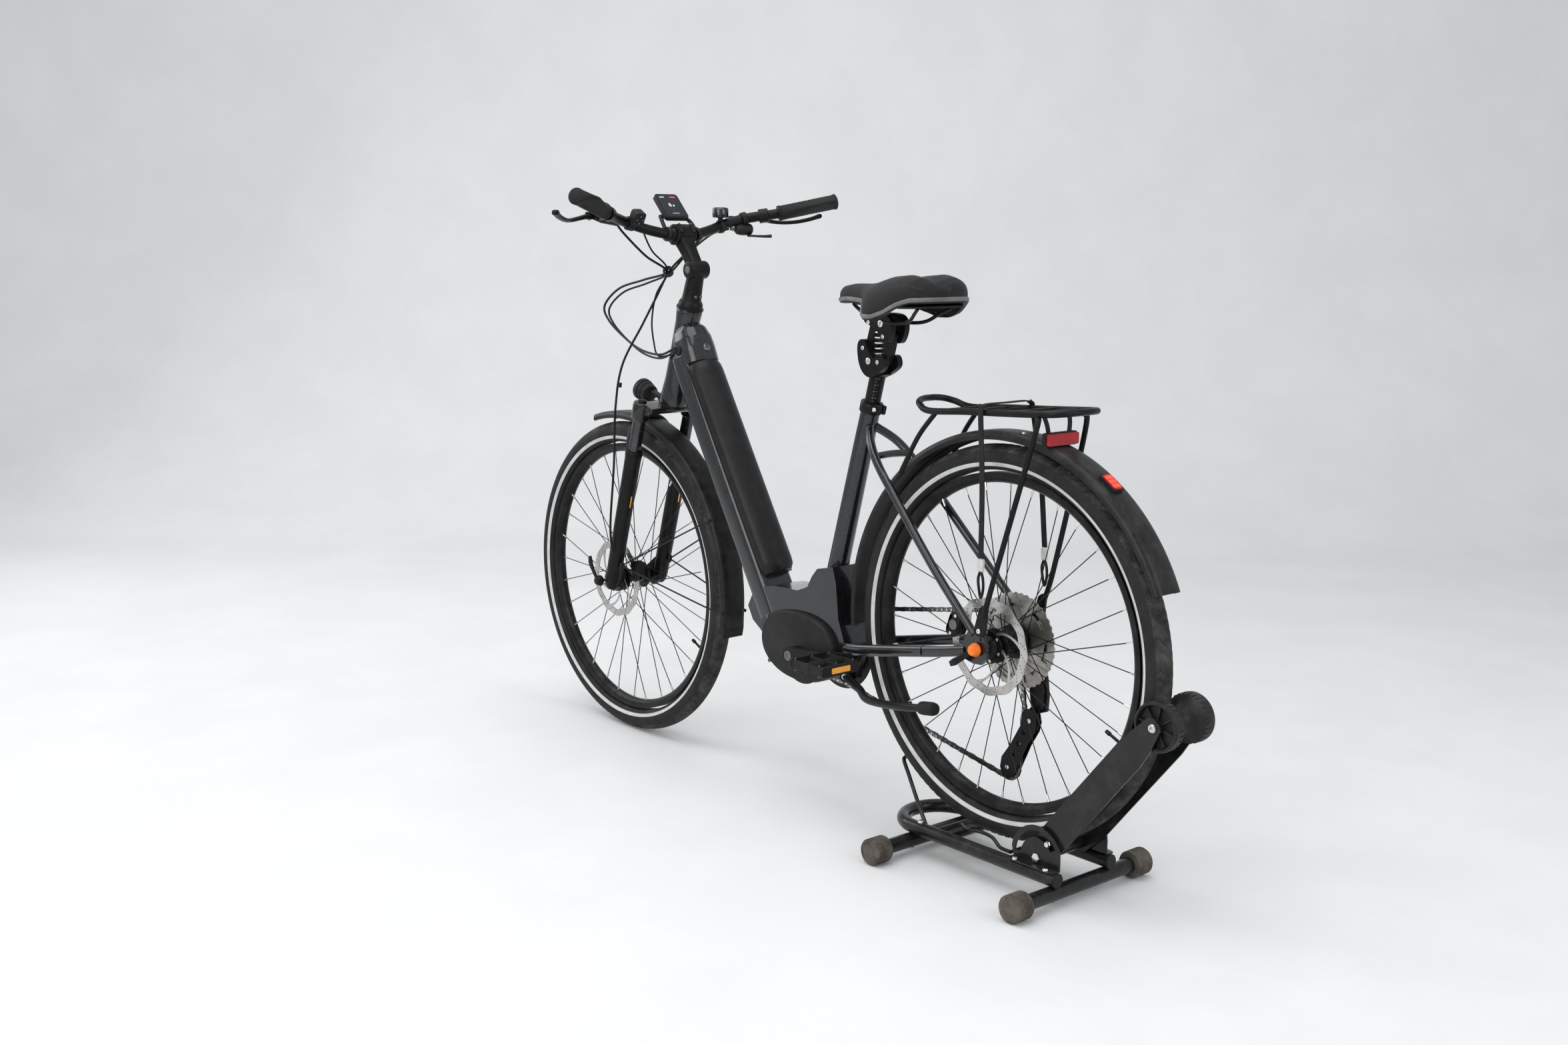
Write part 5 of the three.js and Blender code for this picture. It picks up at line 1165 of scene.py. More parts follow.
# %% [markdown]
# ## Carrier and side stand
# The carrier is bent from tube: one hoop with a raised nose, two legs to the axle and thin cross bars, with
# an elastic strap over it that is hooked low on each side, and a wide red reflector. The side stand is folded back
# under the left chainstay.

# %% Carrier
rack = Maker("carrier_tubes")
rail_half = [at(205, 0, 852), at(203, 14, 852), at(197, 32, 850), at(184, 46, 845), at(150, 56, 836), at(60, 58, 842),
             at(-20, 59, 846), at(-90, 60, 850),
             at(-134, 57, 853), at(-155, 42, 855), at(-163, 20, 856), at(-164, 0, 856)]
hoop = rail_half + other_side(rail_half)[-2:0:-1]
ring_path = smooth_path(hoop + [hoop[0]], 6)
rack.add(along(ring_path, ring(0.006, 18), caps=True), "satin_black")
for side in (1, -1):
    mirror = np.array([1, side, 1])
    leg = [p * mirror for p in (at(-112, 59, 848), at(-110, 66, 812), at(-40, 79, 560), at(-16, 78, 486))]
    rack.add(tube(leg, 5, 16, 8), "satin_black")
    strut = [p * mirror for p in (at(128, 56, 839), at(170, 60, 790), at(206, 62, 730), at(214, 62, 716))]
    rack.add(tube(strut, 4.6, 14, 8), "satin_black")
    foot = [at(x, 0, z) for x, z in ((-26, 504), (-16, 508), (-8, 502), (0, 476), (4, 462), (-2, 451), (-16, 450),
                                     (-22, 462))]
    low_y, high_y = (75, 80) if side > 0 else (-80, -75)
    rack.add(side_plate(foot, low_y, high_y), "satin_black")
    rack.add(screw(at(-8, 80 * side, 460), (0, side, 0), 4.6, 2.6, 20), "bright_steel")
for x, z in ((120, 838), (64, 841), (10, 845), (-46, 848), (-100, 851)):
    rack.add(rod(at(x, -57, z), at(x, 57, z), 3.8, sides=14), "satin_black")
over_rack = [at(14, -64, 854), at(13, -50, 858.5), at(13, 0, 858.5), at(13, 50, 858.5), at(14, 64, 854)]
rack.add(section_tube(over_rack, 12, 2.2, 0.9, (0, 0, 1), 4, 6), "soft_rubber")
for side in (1, -1):
    mirror = np.array([1, side, 1])
    fall = [p * mirror for p in (at(14, 64, 854), at(12, 68, 842), at(-4, 77, 720), at(-12, 84, 592))]
    rack.add(section_tube(fall, 12, 2.2, 0.9, (0, side, 0), 4, 6), "soft_rubber")
    clip = at(-12.5, 84, 580) * mirror
    rack.add(block(clip, (np.array([1.0, 0, 0]), np.array([0, 0, 1.0]), LEFT), (13, 22, 5), 1.5), "bright_steel")
    eye = [p * mirror for p in (at(-12, 84, 570), at(-7, 84, 556), at(-9, 84, 538), at(-14, 84, 522), at(-19, 84, 538),
                                at(-18, 84, 556), at(-13, 84, 570))]
    rack.add(tube(eye, 2.6, 12, 6), "moulded_black")
REFLECTOR = at(-116, 0, 806)
rear_axes = (LEFT, np.array([0.0, 0, 1.0]), np.array([-1.0, 0, 0]))
rack.add(block(REFLECTOR + np.array([0.006, 0, 0]), rear_axes, (82, 24, 8), 4), "moulded_black")
rack.add(block(REFLECTOR, rear_axes, (78, 20, 8), 3), "red_lens")
for side in (1, -1):
    rack.add(tube([at(-108, 26 * side, 812), at(-106, 30 * side, 832), at(-100, 34 * side, 850)], 4, 12, 6),
             "moulded_black")
rack.done("frame", "rear_carrier")

legs = Maker("side_stand")
PIVOT = at(352, 66, 300)
fold = np.array([0.232, -0.955, -0.184])
fold /= np.linalg.norm(fold)
legs.add(rod(PIVOT - fold * 0.006, PIVOT + fold * 0.006, 12, sides=32, rim=1.0), "satin_black")
legs.add(screw(PIVOT - fold * 0.0055, -fold, 6, 2.6, 24), "bright_steel")
legs.add(tube([PIVOT, at(314, 66, 283), at(268, 84, 274), at(160, 107, 290), at(72, 118, 308)], 8, 24, 8,
              ([0, 0.15, 1], [1.15, 1.0, 0.92])), "satin_black")
legs.add(turned([(0.01, 0), (9.4, 0), (11.8, 3), (12.6, 10), (12.6, 34), (11, 41), (7, 43.5), (0.01, 43.5)],
                at(97, 116, 303.5), 28, (-1, 0.093, 0.168)), "soft_rubber")
legs.done("kickstand", "kickstand")

# %% [markdown]
# ## Cranks and pedals
# A forged crank tapers from its bolt to its pedal eye. The pedals are moulded cages with reflectors and pins.

# %% Cranks and pedals
def crank_shape(side):
    """A forged arm: width 17 to 12 mm along 172.5 mm, hollowed a little on its face."""
    angle = 171.5 if side > 0 else 351.5
    end = round_hub(CRANK_AXIS, 172.5, angle)
    d = (end - CRANK_AXIS) / np.linalg.norm(end - CRANK_AXIS)
    n = np.array([-d[2], 0, d[0]])
    t = np.linspace(0, 1, 30)
    half = 17.0 - 5.0 * t ** 0.6 - 1.5 * np.sin(np.pi * t)
    top = [CRANK_AXIS + d * 0.1725 * s + n * w / 1000 for s, w in zip(t, half)]
    bottom = [CRANK_AXIS + d * 0.1725 * s - n * w / 1000 for s, w in zip(t, half)]
    tip = [end + (d * math.cos(a) + n * math.sin(a)) * 0.012 for a in np.linspace(math.pi / 2, -math.pi / 2, 13)[1:-1]]
    tail = [CRANK_AXIS - (d * math.cos(a) - n * math.sin(a)) * 0.0165
            for a in np.linspace(-math.pi / 2, math.pi / 2, 15)[1:-1]]
    outline = top + tip + bottom[::-1] + tail
    low_y, high_y = (76.2, 89.6) if side > 0 else (-89.6, -76.2)
    shapes = [(side_plate(outline, low_y, high_y, [circle(end, 7.5, 24)]), "satin_black")]
    shapes.append((turned([(0.01, 60 * side), (16.6, 60 * side), (16.6, 77 * side), (0.01, 77 * side)], CRANK_AXIS, 40),
                   "satin_black"))
    shapes.append((screw(CRANK_AXIS + np.array([0, 0.0892 * side, 0]), (0, side, 0), 10.5, 1.6, 32), "dark_steel"))
    return shapes


left = Maker("left_crank")
for shape, look_of in crank_shape(1):
    left.add(shape, look_of)
left.done("crank", "crank_left", bevel=0.0026)
rightside = Maker("right_crank")
for shape, look_of in crank_shape(-1):
    rightside.add(shape, look_of)
rightside.add(rod(CRANK_AXIS - LEFT * 0.080, CRANK_AXIS + LEFT * 0.070, 12, sides=28), "dark_steel")
teeth = np.linspace(0, 2 * np.pi, 38 * 6, endpoint=False)
r_teeth = 75.0 + 2.2 * np.clip(np.cos(38 * teeth) * 1.5, -1, 1)
outline = np.stack([r_teeth * np.cos(teeth), r_teeth * np.sin(teeth)], 1) / 1000
SIDE_AXES = (np.array([1.0, 0, 0]), np.array([0, 0, 1.0]), np.array([0, 1.0, 0]))
windows = [ring(0.0115, 20) + 0.051 * np.array([math.cos(k * math.pi / 2.5), math.sin(k * math.pi / 2.5)])
           for k in range(5)]
rightside.add(plate(outline, -0.0555, -0.0525, CRANK_AXIS, SIDE_AXES, windows), "satin_black")
rightside.add(turned([(64, -57.4), (90, -57.4), (91.6, -58.4), (90, -60), (64, -60)], CRANK_AXIS, 96), "moulded_black")
rightside.done("crank", "crank_right", bevel=0.0008)


def pedal(name, body, node, side):
    """A ladder cage: two long rails and three cross bars about the axle, with pins and amber reflectors."""
    c = round_hub(CRANK_AXIS, 172.5, 171.5 if side > 0 else 351.5)
    x, y, z = np.eye(3)
    piece = Maker(name)
    mid = c + y * 0.144 * side
    piece.add(rod(c + y * 0.077 * side, c + y * 0.19 * side, 6.6, 5.4, 24), "dark_steel")
    piece.add(rod(c + y * 0.098 * side, c + y * 0.191 * side, 11, 10, 24, 2), "moulded_black")
    for s in (-1, 1):
        piece.add(block(mid + x * 0.0445 * s, (y, z, x), (94, 20, 7), 5), "moulded_black")
        piece.add(block(mid + x * 0.0484 * s, (y, z, x), (46, 11, 1.6), 2), "amber_lens")
    for k in (-0.0425, 0.0, 0.0425):
        piece.add(block(mid + y * k, (x, z, y), (88, 17, 7), 5), "moulded_black")
    for s in (-1, 1):
        for k in (-0.0425, 0, 0.0425):
            for q in (-0.034, 0.034):
                piece.add(rod(mid + x * q + y * k + z * 0.008 * s, mid + x * q + y * k + z * 0.0122 * s, 1.7, 1.3, 8),
                          "dark_steel")
    return piece.done(body, node, bevel=0.0011)


pedal("left_pedal", "pedal_left", "pedal_left", 1)
pedal("right_pedal", "pedal_right", "pedal_right", -1)

# %% [markdown]
# ## Sprockets, chain and derailleur
# Each sprocket is a plate with teeth and lightening slots. The chain's links are laid along its own path, and
# every second link is the wider outer pair of plates.

# %% Sprockets
def toothed(radius, count, depth=2.4, per=6):
    """r = radius + depth clipped(cos n a): teeth with flat tops and round roots."""
    a = np.linspace(0, 2 * np.pi, count * per, endpoint=False)
    r = radius + depth * (np.clip(np.cos(count * a) * 1.4, -1, 1) - 1) / 2
    return np.stack([r * np.cos(a), r * np.sin(a)], 1) / 1000


sprockets = Maker("cassette_sprockets")
sizes = [(26, 11), (31, 14), (37, 17), (44, 20), (52, 24), (61, 28), (71, 33), (81, 38), (89.5, 42)]
for k, (radius, count) in enumerate(sizes):
    y_at = (-59.2 + 3.45 * k) / 1000
    slots = []
    if radius > 48:
        for j in range(7):
            a0 = 2 * math.pi * (j + 0.3 * k) / 7
            arc = np.linspace(a0, a0 + 0.5, 7)
            wide_r, low_r = (radius - 12) / 1000, max(0.026, (radius - 26) / 1000)
            slots.append(np.vstack([np.stack([wide_r * np.cos(arc), wide_r * np.sin(arc)], 1),
                                    np.stack([low_r * np.cos(arc[::-1]), low_r * np.sin(arc[::-1])], 1)]))
    sprockets.add(plate(toothed(radius, count), y_at, y_at + 0.0018, REAR_HUB, SIDE_AXES, [ring(0.0166, 24), *slots]),
                  "sprocket_steel")
sprockets.add(turned([(16.6, -59.5), (21, -59.5), (21, -29), (16.6, -29)], REAR_HUB, 32), "dark_steel")
sprockets.done("cassette", "cassette")

# %% Chain
UPPER, LOWER = at(-21, 0, 275), at(29, 0, 175)


def wrapped(centre, radius, first, last, count=14):
    """Points on an arc round a sprocket."""
    return [round_hub(centre, radius, d, -54) for d in np.linspace(first, last, count)]


route = wrapped(CRANK_AXIS, 77, 92, -98, 40) + wrapped(LOWER, 22.5, -80, -190) + wrapped(UPPER, 22.5, -18,
    40) + wrapped(REAR_HUB, 53, 282, 92, 30)
route = np.array(route + [route[0]])
gap = np.linalg.norm(np.diff(route, axis=0), axis=1)
run = np.concatenate([[0], np.cumsum(gap)])
links = int(round(run[-1] / 0.0127 / 2) * 2)
stations = np.linspace(0, run[-1], links, endpoint=False)
pins = np.stack([np.interp(stations, run, route[:, i]) for i in range(3)], 1)
chain = Maker("chain_links")
chain_links = np.roll(pins, -1, 0) - pins
for k in range(links):
    d = chain_links[k] / np.linalg.norm(chain_links[k])
    n = np.array([-d[2], 0, d[0]])
    mid = pins[k] + chain_links[k] / 2
    gap_y, size = (2.35, 8.6) if k % 2 else (1.45, 8.0)
    for s in (1, -1):
        outline = rounded(20.0 if k % 2 else 19.0, size, size / 2 - 0.1, 3) / 1000
        waist_in = 1 - 0.22 * np.exp(-(outline[:, 0] / 0.003) ** 2)
        outline = np.stack([outline[:, 0], outline[:, 1] * waist_in], 1)
        chain.add(plate(outline, -0.0004, 0.0004, mid + LEFT * gap_y * s / 1000, (d, n, LEFT)), "dark_steel")
    chain.add(rod(pins[k] - LEFT * 0.0031, pins[k] + LEFT * 0.0031, 2.0, sides=8), "bright_steel")
chain.done("frame", "chain")

# %% Derailleur
mech = Maker("derailleur_linkage")
hanger = [at(x, 0, z) for x, z in ((-22, 400), (-6, 398), (4, 396), (6, 384), (2, 368), (-8, 360), (-22, 364),
                                   (-26, 380))]
mech.add(side_plate(hanger, -74, -67), "satin_black")
mech.add(turned([(0.01, -84), (11, -84), (13, -82), (13, -68), (0.01, -68)], at(-14, 0, 372), 32), "moulded_black")
arm_out = [at(x, 0, z) for x, z in ((-28, 378), (-8, 384), (0, 376), (4, 340), (2, 312), (-4, 290), (-20, 284),
                                    (-36, 290), (-38, 320), (-34, 350))]
mech.add(side_plate(arm_out, -82, -75), "moulded_black")
inner = [at(x, 0, z) for x, z in ((-26, 360), (-8, 362), (-2, 330), (-8, 296), (-32, 296), (-34, 330))]
mech.add(side_plate(inner, -73, -65), "satin_black")
mech.add(screw(at(-14, -84, 372), (0, -1, 0), 5.5, 1.2, 24), "bright_steel")
mech.done("frame", "derailleur_body", bevel=0.0018)
cage = Maker("derailleur_cage_plates")
cage_outline = [at(x, 0, z) for x, z in ((-34, 290), (-28, 297), (-12, 297), (-3, 288), (0, 262), (24, 220), (44, 192),
                                         (47, 172), (40, 156), (26, 153), (12, 162), (6, 178), (-16, 226), (-34, 256),
                                         (-38, 274))]
cage_holes = [circle(at(-8, 0, 250), 5, 16), circle(at(4, 0, 226), 5, 16), circle(at(16, 0, 202), 4, 16)]
for low_y in (-62, -48):
    cage.add(side_plate(cage_outline, low_y, low_y + 1.8, cage_holes), "satin_black")
for centre in (UPPER, LOWER):
    cage.add(rod(centre - LEFT * 0.0612, centre - LEFT * 0.047, 3, sides=16), "dark_steel")
    cage.add(screw(centre - LEFT * 0.0462, (0, 1, 0), 4.5, 1.5, 18), "bright_steel")
cage.done("derailleur_cage", "derailleur_cage", bevel=0.0005)
for name, centre in (("upper_pulley", UPPER), ("lower_pulley", LOWER)):
    wheel = Maker(name + "_teeth")
    pulley_holes = [ring(0.0034, 16)] + [ring(0.0026, 12) + 0.0105
                                         * np.array([math.cos(k * 1.047), math.sin(k * 1.047)]) for k in range(6)]
    wheel.add(plate(toothed(20.8, 11, 3.4, 8), -0.0555, -0.0525, centre, SIDE_AXES, pulley_holes), "moulded_black")
    wheel.done(name, name)

# %% [markdown]
# ## Sprung seat post and saddle
# The post ends in a cheek plate with the lower pivots. Two links carry the saddle's clamp, and a coil spring
# stretches between them. The saddle is a padded shell with a raised tail of two lobes, a bumper edge and stitching.

# %% Seat post and links
stick = Maker("seat_post_tube")
stick.add(rod(post(-208), post(66), 15.4, sides=48), "satin_black")
for k in range(9):
    mark = post(12 + 6.5 * k) + np.array([-0.0118, 0.0098, 0])
    normal = np.array([-0.77, 0.64, 0])
    stick.add(block(mark, (np.array([0.64, 0.77, 0]), SEAT_UP, normal), (7.5 if k % 2 else 5.0, 0.7, 0.5), 0.3),
              "light_mark")
cheek = swollen([(378, 940), (366, 953), (354, 945), (345, 925), (331, 915), (319, 925), (307, 922), (302, 904),
                 (322, 890), (346, 880), (370, 898)], np.array([342, 918]), 1.06, 2)
for low_y, high_y in ((12, 24), (-24, -12)):
    stick.add(side_plate(cheek, low_y, high_y), "satin_black")
stick.add(side_plate([at(x, 0, z) for x, z in ((354, 904), (330, 900), (320, 886), (346, 874), (366, 894))], -13, 13),
          "satin_black")
for x, z, r in ((362, 936, 4.2), (321, 911, 4.2), (346, 912, 6.4)):
    for s in (1, -1):
        stick.add(screw(at(x, 24 * s, z), (0, s, 0), r, 1.8, 28), "bright_steel")
    stick.add(rod(at(x, -22, z), at(x, 22, z), 3, sides=14), "dark_steel")
stick.done("seatpost", "seatpost", bevel=0.0016)

def link(name, node, low_x, low_z, high_x, high_z, low_r, high_r):
    """Two eyes and a web between them."""
    low_p, high_p = at(low_x, 0, low_z), at(high_x, 0, high_z)
    d = (high_p - low_p) / np.linalg.norm(high_p - low_p)
    n = np.array([-d[2], 0, d[0]])
    a = np.linspace(0, np.pi, 14)
    outline = [low_p + (-d * math.sin(q) + n * math.cos(q)) * 0.0076 for q in a]
    outline += [high_p + (d * math.sin(q) - n * math.cos(q)) * 0.0076 for q in a]
    piece = Maker(name).add(side_plate(outline, -10.5, 10.5, [circle(low_p, low_r, 16), circle(high_p, high_r, 16)]),
                            "satin_black")
    return piece.done(node, node, bevel=0.001)


link("front_post_link", "post_link_front", 362, 936, 347, 985, 3.4, 3.4)
link("rear_post_link", "post_link_rear", 321, 911, 307, 960, 3.4, 3.6)
spring = Maker("post_spring")
t = np.linspace(0, 1, 200)
bottom, top = at(333, 0, 916), at(330, 0, 982)
axis_s = (top - bottom) / np.linalg.norm(top - bottom)
n_s = np.cross(axis_s, LEFT)
core = bottom + (top - bottom) * t[:, None]
wind = core + (np.cos(13 * np.pi * t)[:, None] * LEFT + np.sin(13 * np.pi * t)[:, None] * n_s) * 0.0156
spring.add(along(wind, ring(0.0017, 8)), "bright_steel")
spring_piece = spring.done("seatpost")
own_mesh(spring_piece)

# %% Saddle frame
under = Maker("saddle_underside")
upper = swollen([(362, 986), (350, 1000), (318, 1003), (292, 998), (284, 976), (295, 949), (309, 947), (320, 968),
                 (336, 977)], np.array([322, 980]), 1.05, 2)
for low_y, high_y in ((12, 24), (-24, -12)):
    under.add(side_plate(upper, low_y, high_y), "satin_black")
under.add(side_plate([at(x, 0, z) for x, z in ((324, 985), (320, 999), (294, 995), (289, 980), (304, 973))], -13, 13),
          "satin_black")
for x, z, r in ((347, 985, 4.2), (307, 960, 4.2), (314, 984, 6.6)):
    for s in (1, -1):
        under.add(screw(at(x, 24 * s, z), (0, s, 0), r, 1.8, 28), "bright_steel")
    under.add(rod(at(x, -22, z), at(x, 22, z), 3, sides=14), "dark_steel")
for s in (1, -1):
    rails = [p * np.array([1, s, 1]) for p in (at(402, 12, 1018), at(388, 14, 1010), at(344, 21, 992),
        at(300, 22, 986.5), at(262, 22, 986.5), at(236, 25, 992), at(214, 34, 1006), at(196, 44, 1016))]
    under.add(tube(rails, 3.5, 14, 8), "satin_black")

# %% Saddle pad

def half_width(x):
    """Half the saddle's width in mm at x, read from a smooth curve through its nose, waist and lobes."""
    return np.interp(x, [168, 171, 178, 192, 212, 236, 262, 286, 304, 322, 350, 385, 415, 433, 442, 446],
                     [0, 42, 64, 84, 97, 104, 106, 100, 84, 62, 44, 34, 27, 20, 11, 0])


def saddle_hem(x):
    """Height of the lower edge at x: level at the tail and the nose, and drooping 28 mm at the widest point."""
    return np.interp(x, [168, 186, 205, 228, 255, 284, 306, 330, 400, 430, 446],
                     [1035, 1034, 1026, 1012, 1003, 1003, 1014, 1028, 1030, 1027, 1026])


def saddle_points(inset=0.0, drop=0.0, first=0.0, last=1.0, across_count=49):
    """Rows run along the saddle (u) and columns over it (v). Over a row, y = w sin(b), with b from -90 to 90 degrees,
    and z = crown - (crown - hem) (1 - cos(b)^0.62), so each row ends at the hem. The tail rises in two lobes either
    side of a
    shallow middle, and the nose dips."""
    u = np.linspace(0, 1, 90)
    x = 307 - 139 * np.cos(np.pi * (0.006 + 0.988 * u))
    w = np.clip(np.convolve(np.pad(half_width(x), 2, mode="edge"), np.ones(5) / 5, "valid"), 2, None) - inset
    v = np.linspace(-1, 1, across_count)
    b = v * np.pi / 2
    crown = np.interp(x, [168, 176, 190, 215, 250, 300, 350, 400, 430, 446],
                      [1050, 1066, 1077, 1083, 1080, 1066, 1058.5, 1057, 1052, 1041])
    hem = saddle_hem(x)
    y = w[:, None] * np.sin(b)[None]
    fall = 1 - np.abs(np.cos(b)) ** 0.62
    channel = 12.0 * np.exp(-((v / 0.22) ** 2))[None] * np.interp(x, [168, 210, 300, 360, 446], [1, 1, 0.5, 0.1, 0])[:,
        None]
    z = crown[:, None] - drop - (crown - hem)[:, None] * fall[None] - channel * (np.abs(np.cos(b)) ** 0.5)[None]
    return x, y, z


x_row, y_row, z_row = saddle_points()
top_side = at(0, 0, 0) + np.stack([np.broadcast_to(x_row[:, None], y_row.shape), y_row, z_row], -1) / 1000
under_y = y_row[:, ::-1] * 0.94
arch = np.clip(1 - (under_y / np.abs(under_y).max(1, keepdims=True)) ** 2, 0, 1) ** 0.35
under_z = (saddle_hem(x_row) - 4.4)[:, None] + np.clip(1026 - saddle_hem(x_row), 0, None)[:, None] * arch
under_side = at(0, 0, 0) + np.stack([np.broadcast_to(x_row[:, None], y_row.shape), under_y, under_z], -1) / 1000
closed = np.concatenate([top_side, under_side[:, 1:-1]], 1)
pad = Maker("saddle_padding")
pad.add(grid(closed, ring_v=True, caps=True), "saddle_cover")
pad_piece = pad.done("saddle", "saddle_pad", smooth=60, subdivide=1)

edge = top_side[2:-2, 0] + np.array([0, 0, -0.001])
edge_path = np.vstack([edge, (top_side[2:-2, -1] + np.array([0, 0, -0.001]))[::-1]])
loop_step = np.vstack([edge_path, edge_path[:1]])
length = np.concatenate([[0], np.cumsum(np.linalg.norm(np.diff(loop_step, axis=0), axis=1))])
even = np.linspace(0, length[-1], 220, endpoint=False)
edge_even = np.stack([np.interp(even, length, loop_step[:, i]) for i in range(3)], 1)
bumper_section = np.array([(-1.4, -4.6), (1.6, -4.2), (2.6, -1.5), (2.2, 2.2), (0.6, 3.6), (-1.4, 3.4)]) / 1000


def around(path, section):
    """A section carried round a closed level path; across is outward and up is up."""
    step = np.roll(path, -1, 0) - np.roll(path, 1, 0)
    step /= np.linalg.norm(step, axis=1, keepdims=True)
    out = np.cross(step, [0, 0, 1.0])
    out /= np.linalg.norm(out, axis=1, keepdims=True)
    centre = path.mean(0)
    if ((path - centre) * out).sum() < 0:
        out = -out
    P = path[:, None] + out[:, None] * section[None, :, :1] + np.array([0, 0, 1.0]) * section[None, :, 1:]
    return grid(P, ring_u=True, ring_v=True)


under.add(around(edge_even, bumper_section), "saddle_bumper")
tray = [(-0.5, -3.8), (-0.5, -7), (-9, -8), (-9, -3.8)]
under.add(around(edge_even, np.array(tray) / 1000), "moulded_black")
plate_low = [(404, 0), (400, 14), (360, 30), (300, 58), (240, 80), (206, 82), (188, 66), (186, 0)]
plate_outline = np.array(plate_low + [(x, -y) for x, y in plate_low[-2:0:-1]]) / 1000 - np.array([HUB_BACK, 0])
under.add(plate(plate_outline, 1.0168, 1.0206, np.zeros(3), (np.array([1.0, 0, 0]), np.array([0, 1.0, 0]),
    np.array([0, 0, 1.0]))), "moulded_black")
under.done("saddle", "saddle_frame", bevel=0.0008)

stitches = Maker("saddle_stitching")
for s in (6, -7):
    row = top_side[8:52, s]
    length = np.concatenate([[0], np.cumsum(np.linalg.norm(np.diff(row, axis=0), axis=1))])
    for d in np.arange(0.002, length[-1] - 0.004, 0.0048):
        a, b = (np.array([np.interp(q, length, row[:, i]) for i in range(3)]) + np.array([0, 0, 0.0004])
                for q in (d, d + 0.0030))
        stitches.add(rod(a, b, 0.45, sides=6), "thread")
stitches.done("saddle")
# %% [markdown]
# ## Handlebar and stem
# The adjustable stem has a hinge barrel between its column and its arm, and a split faceplate that clamps the
# swept bar. The grips widen into wings under the palms.

# %% Stem and bar
BAR_CLAMP = at(965, 0, 1146)
GRIP_INNER, GRIP_OUTER = at(920, 232, 1193), at(851, 347, 1221)
BAR = [BAR_CLAMP, at(965, 32, 1146), at(974, 84, 1156), at(980, 132, 1170), at(962, 182, 1183), GRIP_INNER,
       GRIP_INNER + (GRIP_OUTER - GRIP_INNER) * 0.5,
       GRIP_INNER + (GRIP_OUTER - GRIP_INNER) * 0.97]
hinge = steer(306)
reach_out = (BAR_CLAMP - hinge) / np.linalg.norm(BAR_CLAMP - hinge)
reach_up = np.array([-reach_out[2], 0, reach_out[0]])
stem = Maker("stem_parts")
column = [(18.7, 221), (27, 221), (27.6, 223), (26.4, 232), (24.4, 236), (22, 238), (21, 244), (20, 262), (18.6, 290),
          (17.6, 306), (0.01, 306), (0.01, 236), (18.7, 236)]
stem.add(turned(column, HEAD_LOW, 56, HEAD_UP), "satin_black")
barrel = [(0.01, -24), (14, -24), (18.6, -22.5), (19.4, -20), (19.4, 20), (18.6, 22.5), (14, 24), (0.01, 24)]
stem.add(turned(barrel, hinge, 48), "satin_black")
for s in (1, -1):
    stem.add(screw(hinge + LEFT * 0.0236 * s, LEFT * s, 7.5, 1.6, 28), "dark_steel")
    column_slot = steer(252, -19.5, 6.5 * s)
    stem.add(screw(column_slot, -HEAD_AHEAD, 3.6, 3.2, 18), "dark_steel")
arm_line = [hinge + reach_out * 0.008, hinge + (BAR_CLAMP - hinge) * 0.5, BAR_CLAMP - reach_out * 0.018]
stem.add(section_tube(arm_line, 33, 30, 9, reach_up, 6, 6, ([0, 0.5, 1], [0.94, 0.98, 1.16])), "satin_black")
clamp = [(16.2, -25), (19.5, -25), (22.4, -23), (22.4, 23), (19.5, 25), (16.2, 25)]
stem.add(turned(clamp, BAR_CLAMP, 56), "satin_black")
for s in (1, -1):
    for t in (1, -1):
        place = BAR_CLAMP + reach_up * 0.0205 * t + LEFT * 0.0165 * s
        stem.add(rod(place - reach_out * 0.010, place + reach_out * 0.0125, 4.6, sides=20, rim=0.8), "satin_black")
        stem.add(screw(place + reach_out * 0.0122, reach_out, 3.4, 1.8, 18), "dark_steel")
stem.done("steering", "stem", bevel=0.0012)

bar = Maker("handlebar_tube")
whole = other_side(BAR)[:0:-1] + BAR
bar.add(tube(whole, 11.0, 28, 10), "satin_black")
bar.add(turned([(11, -34), (13, -32), (15.8, -26), (15.8, 26), (13, 32), (11, 34)], BAR_CLAMP, 40), "satin_black")
bar.done("steering", "handlebar")


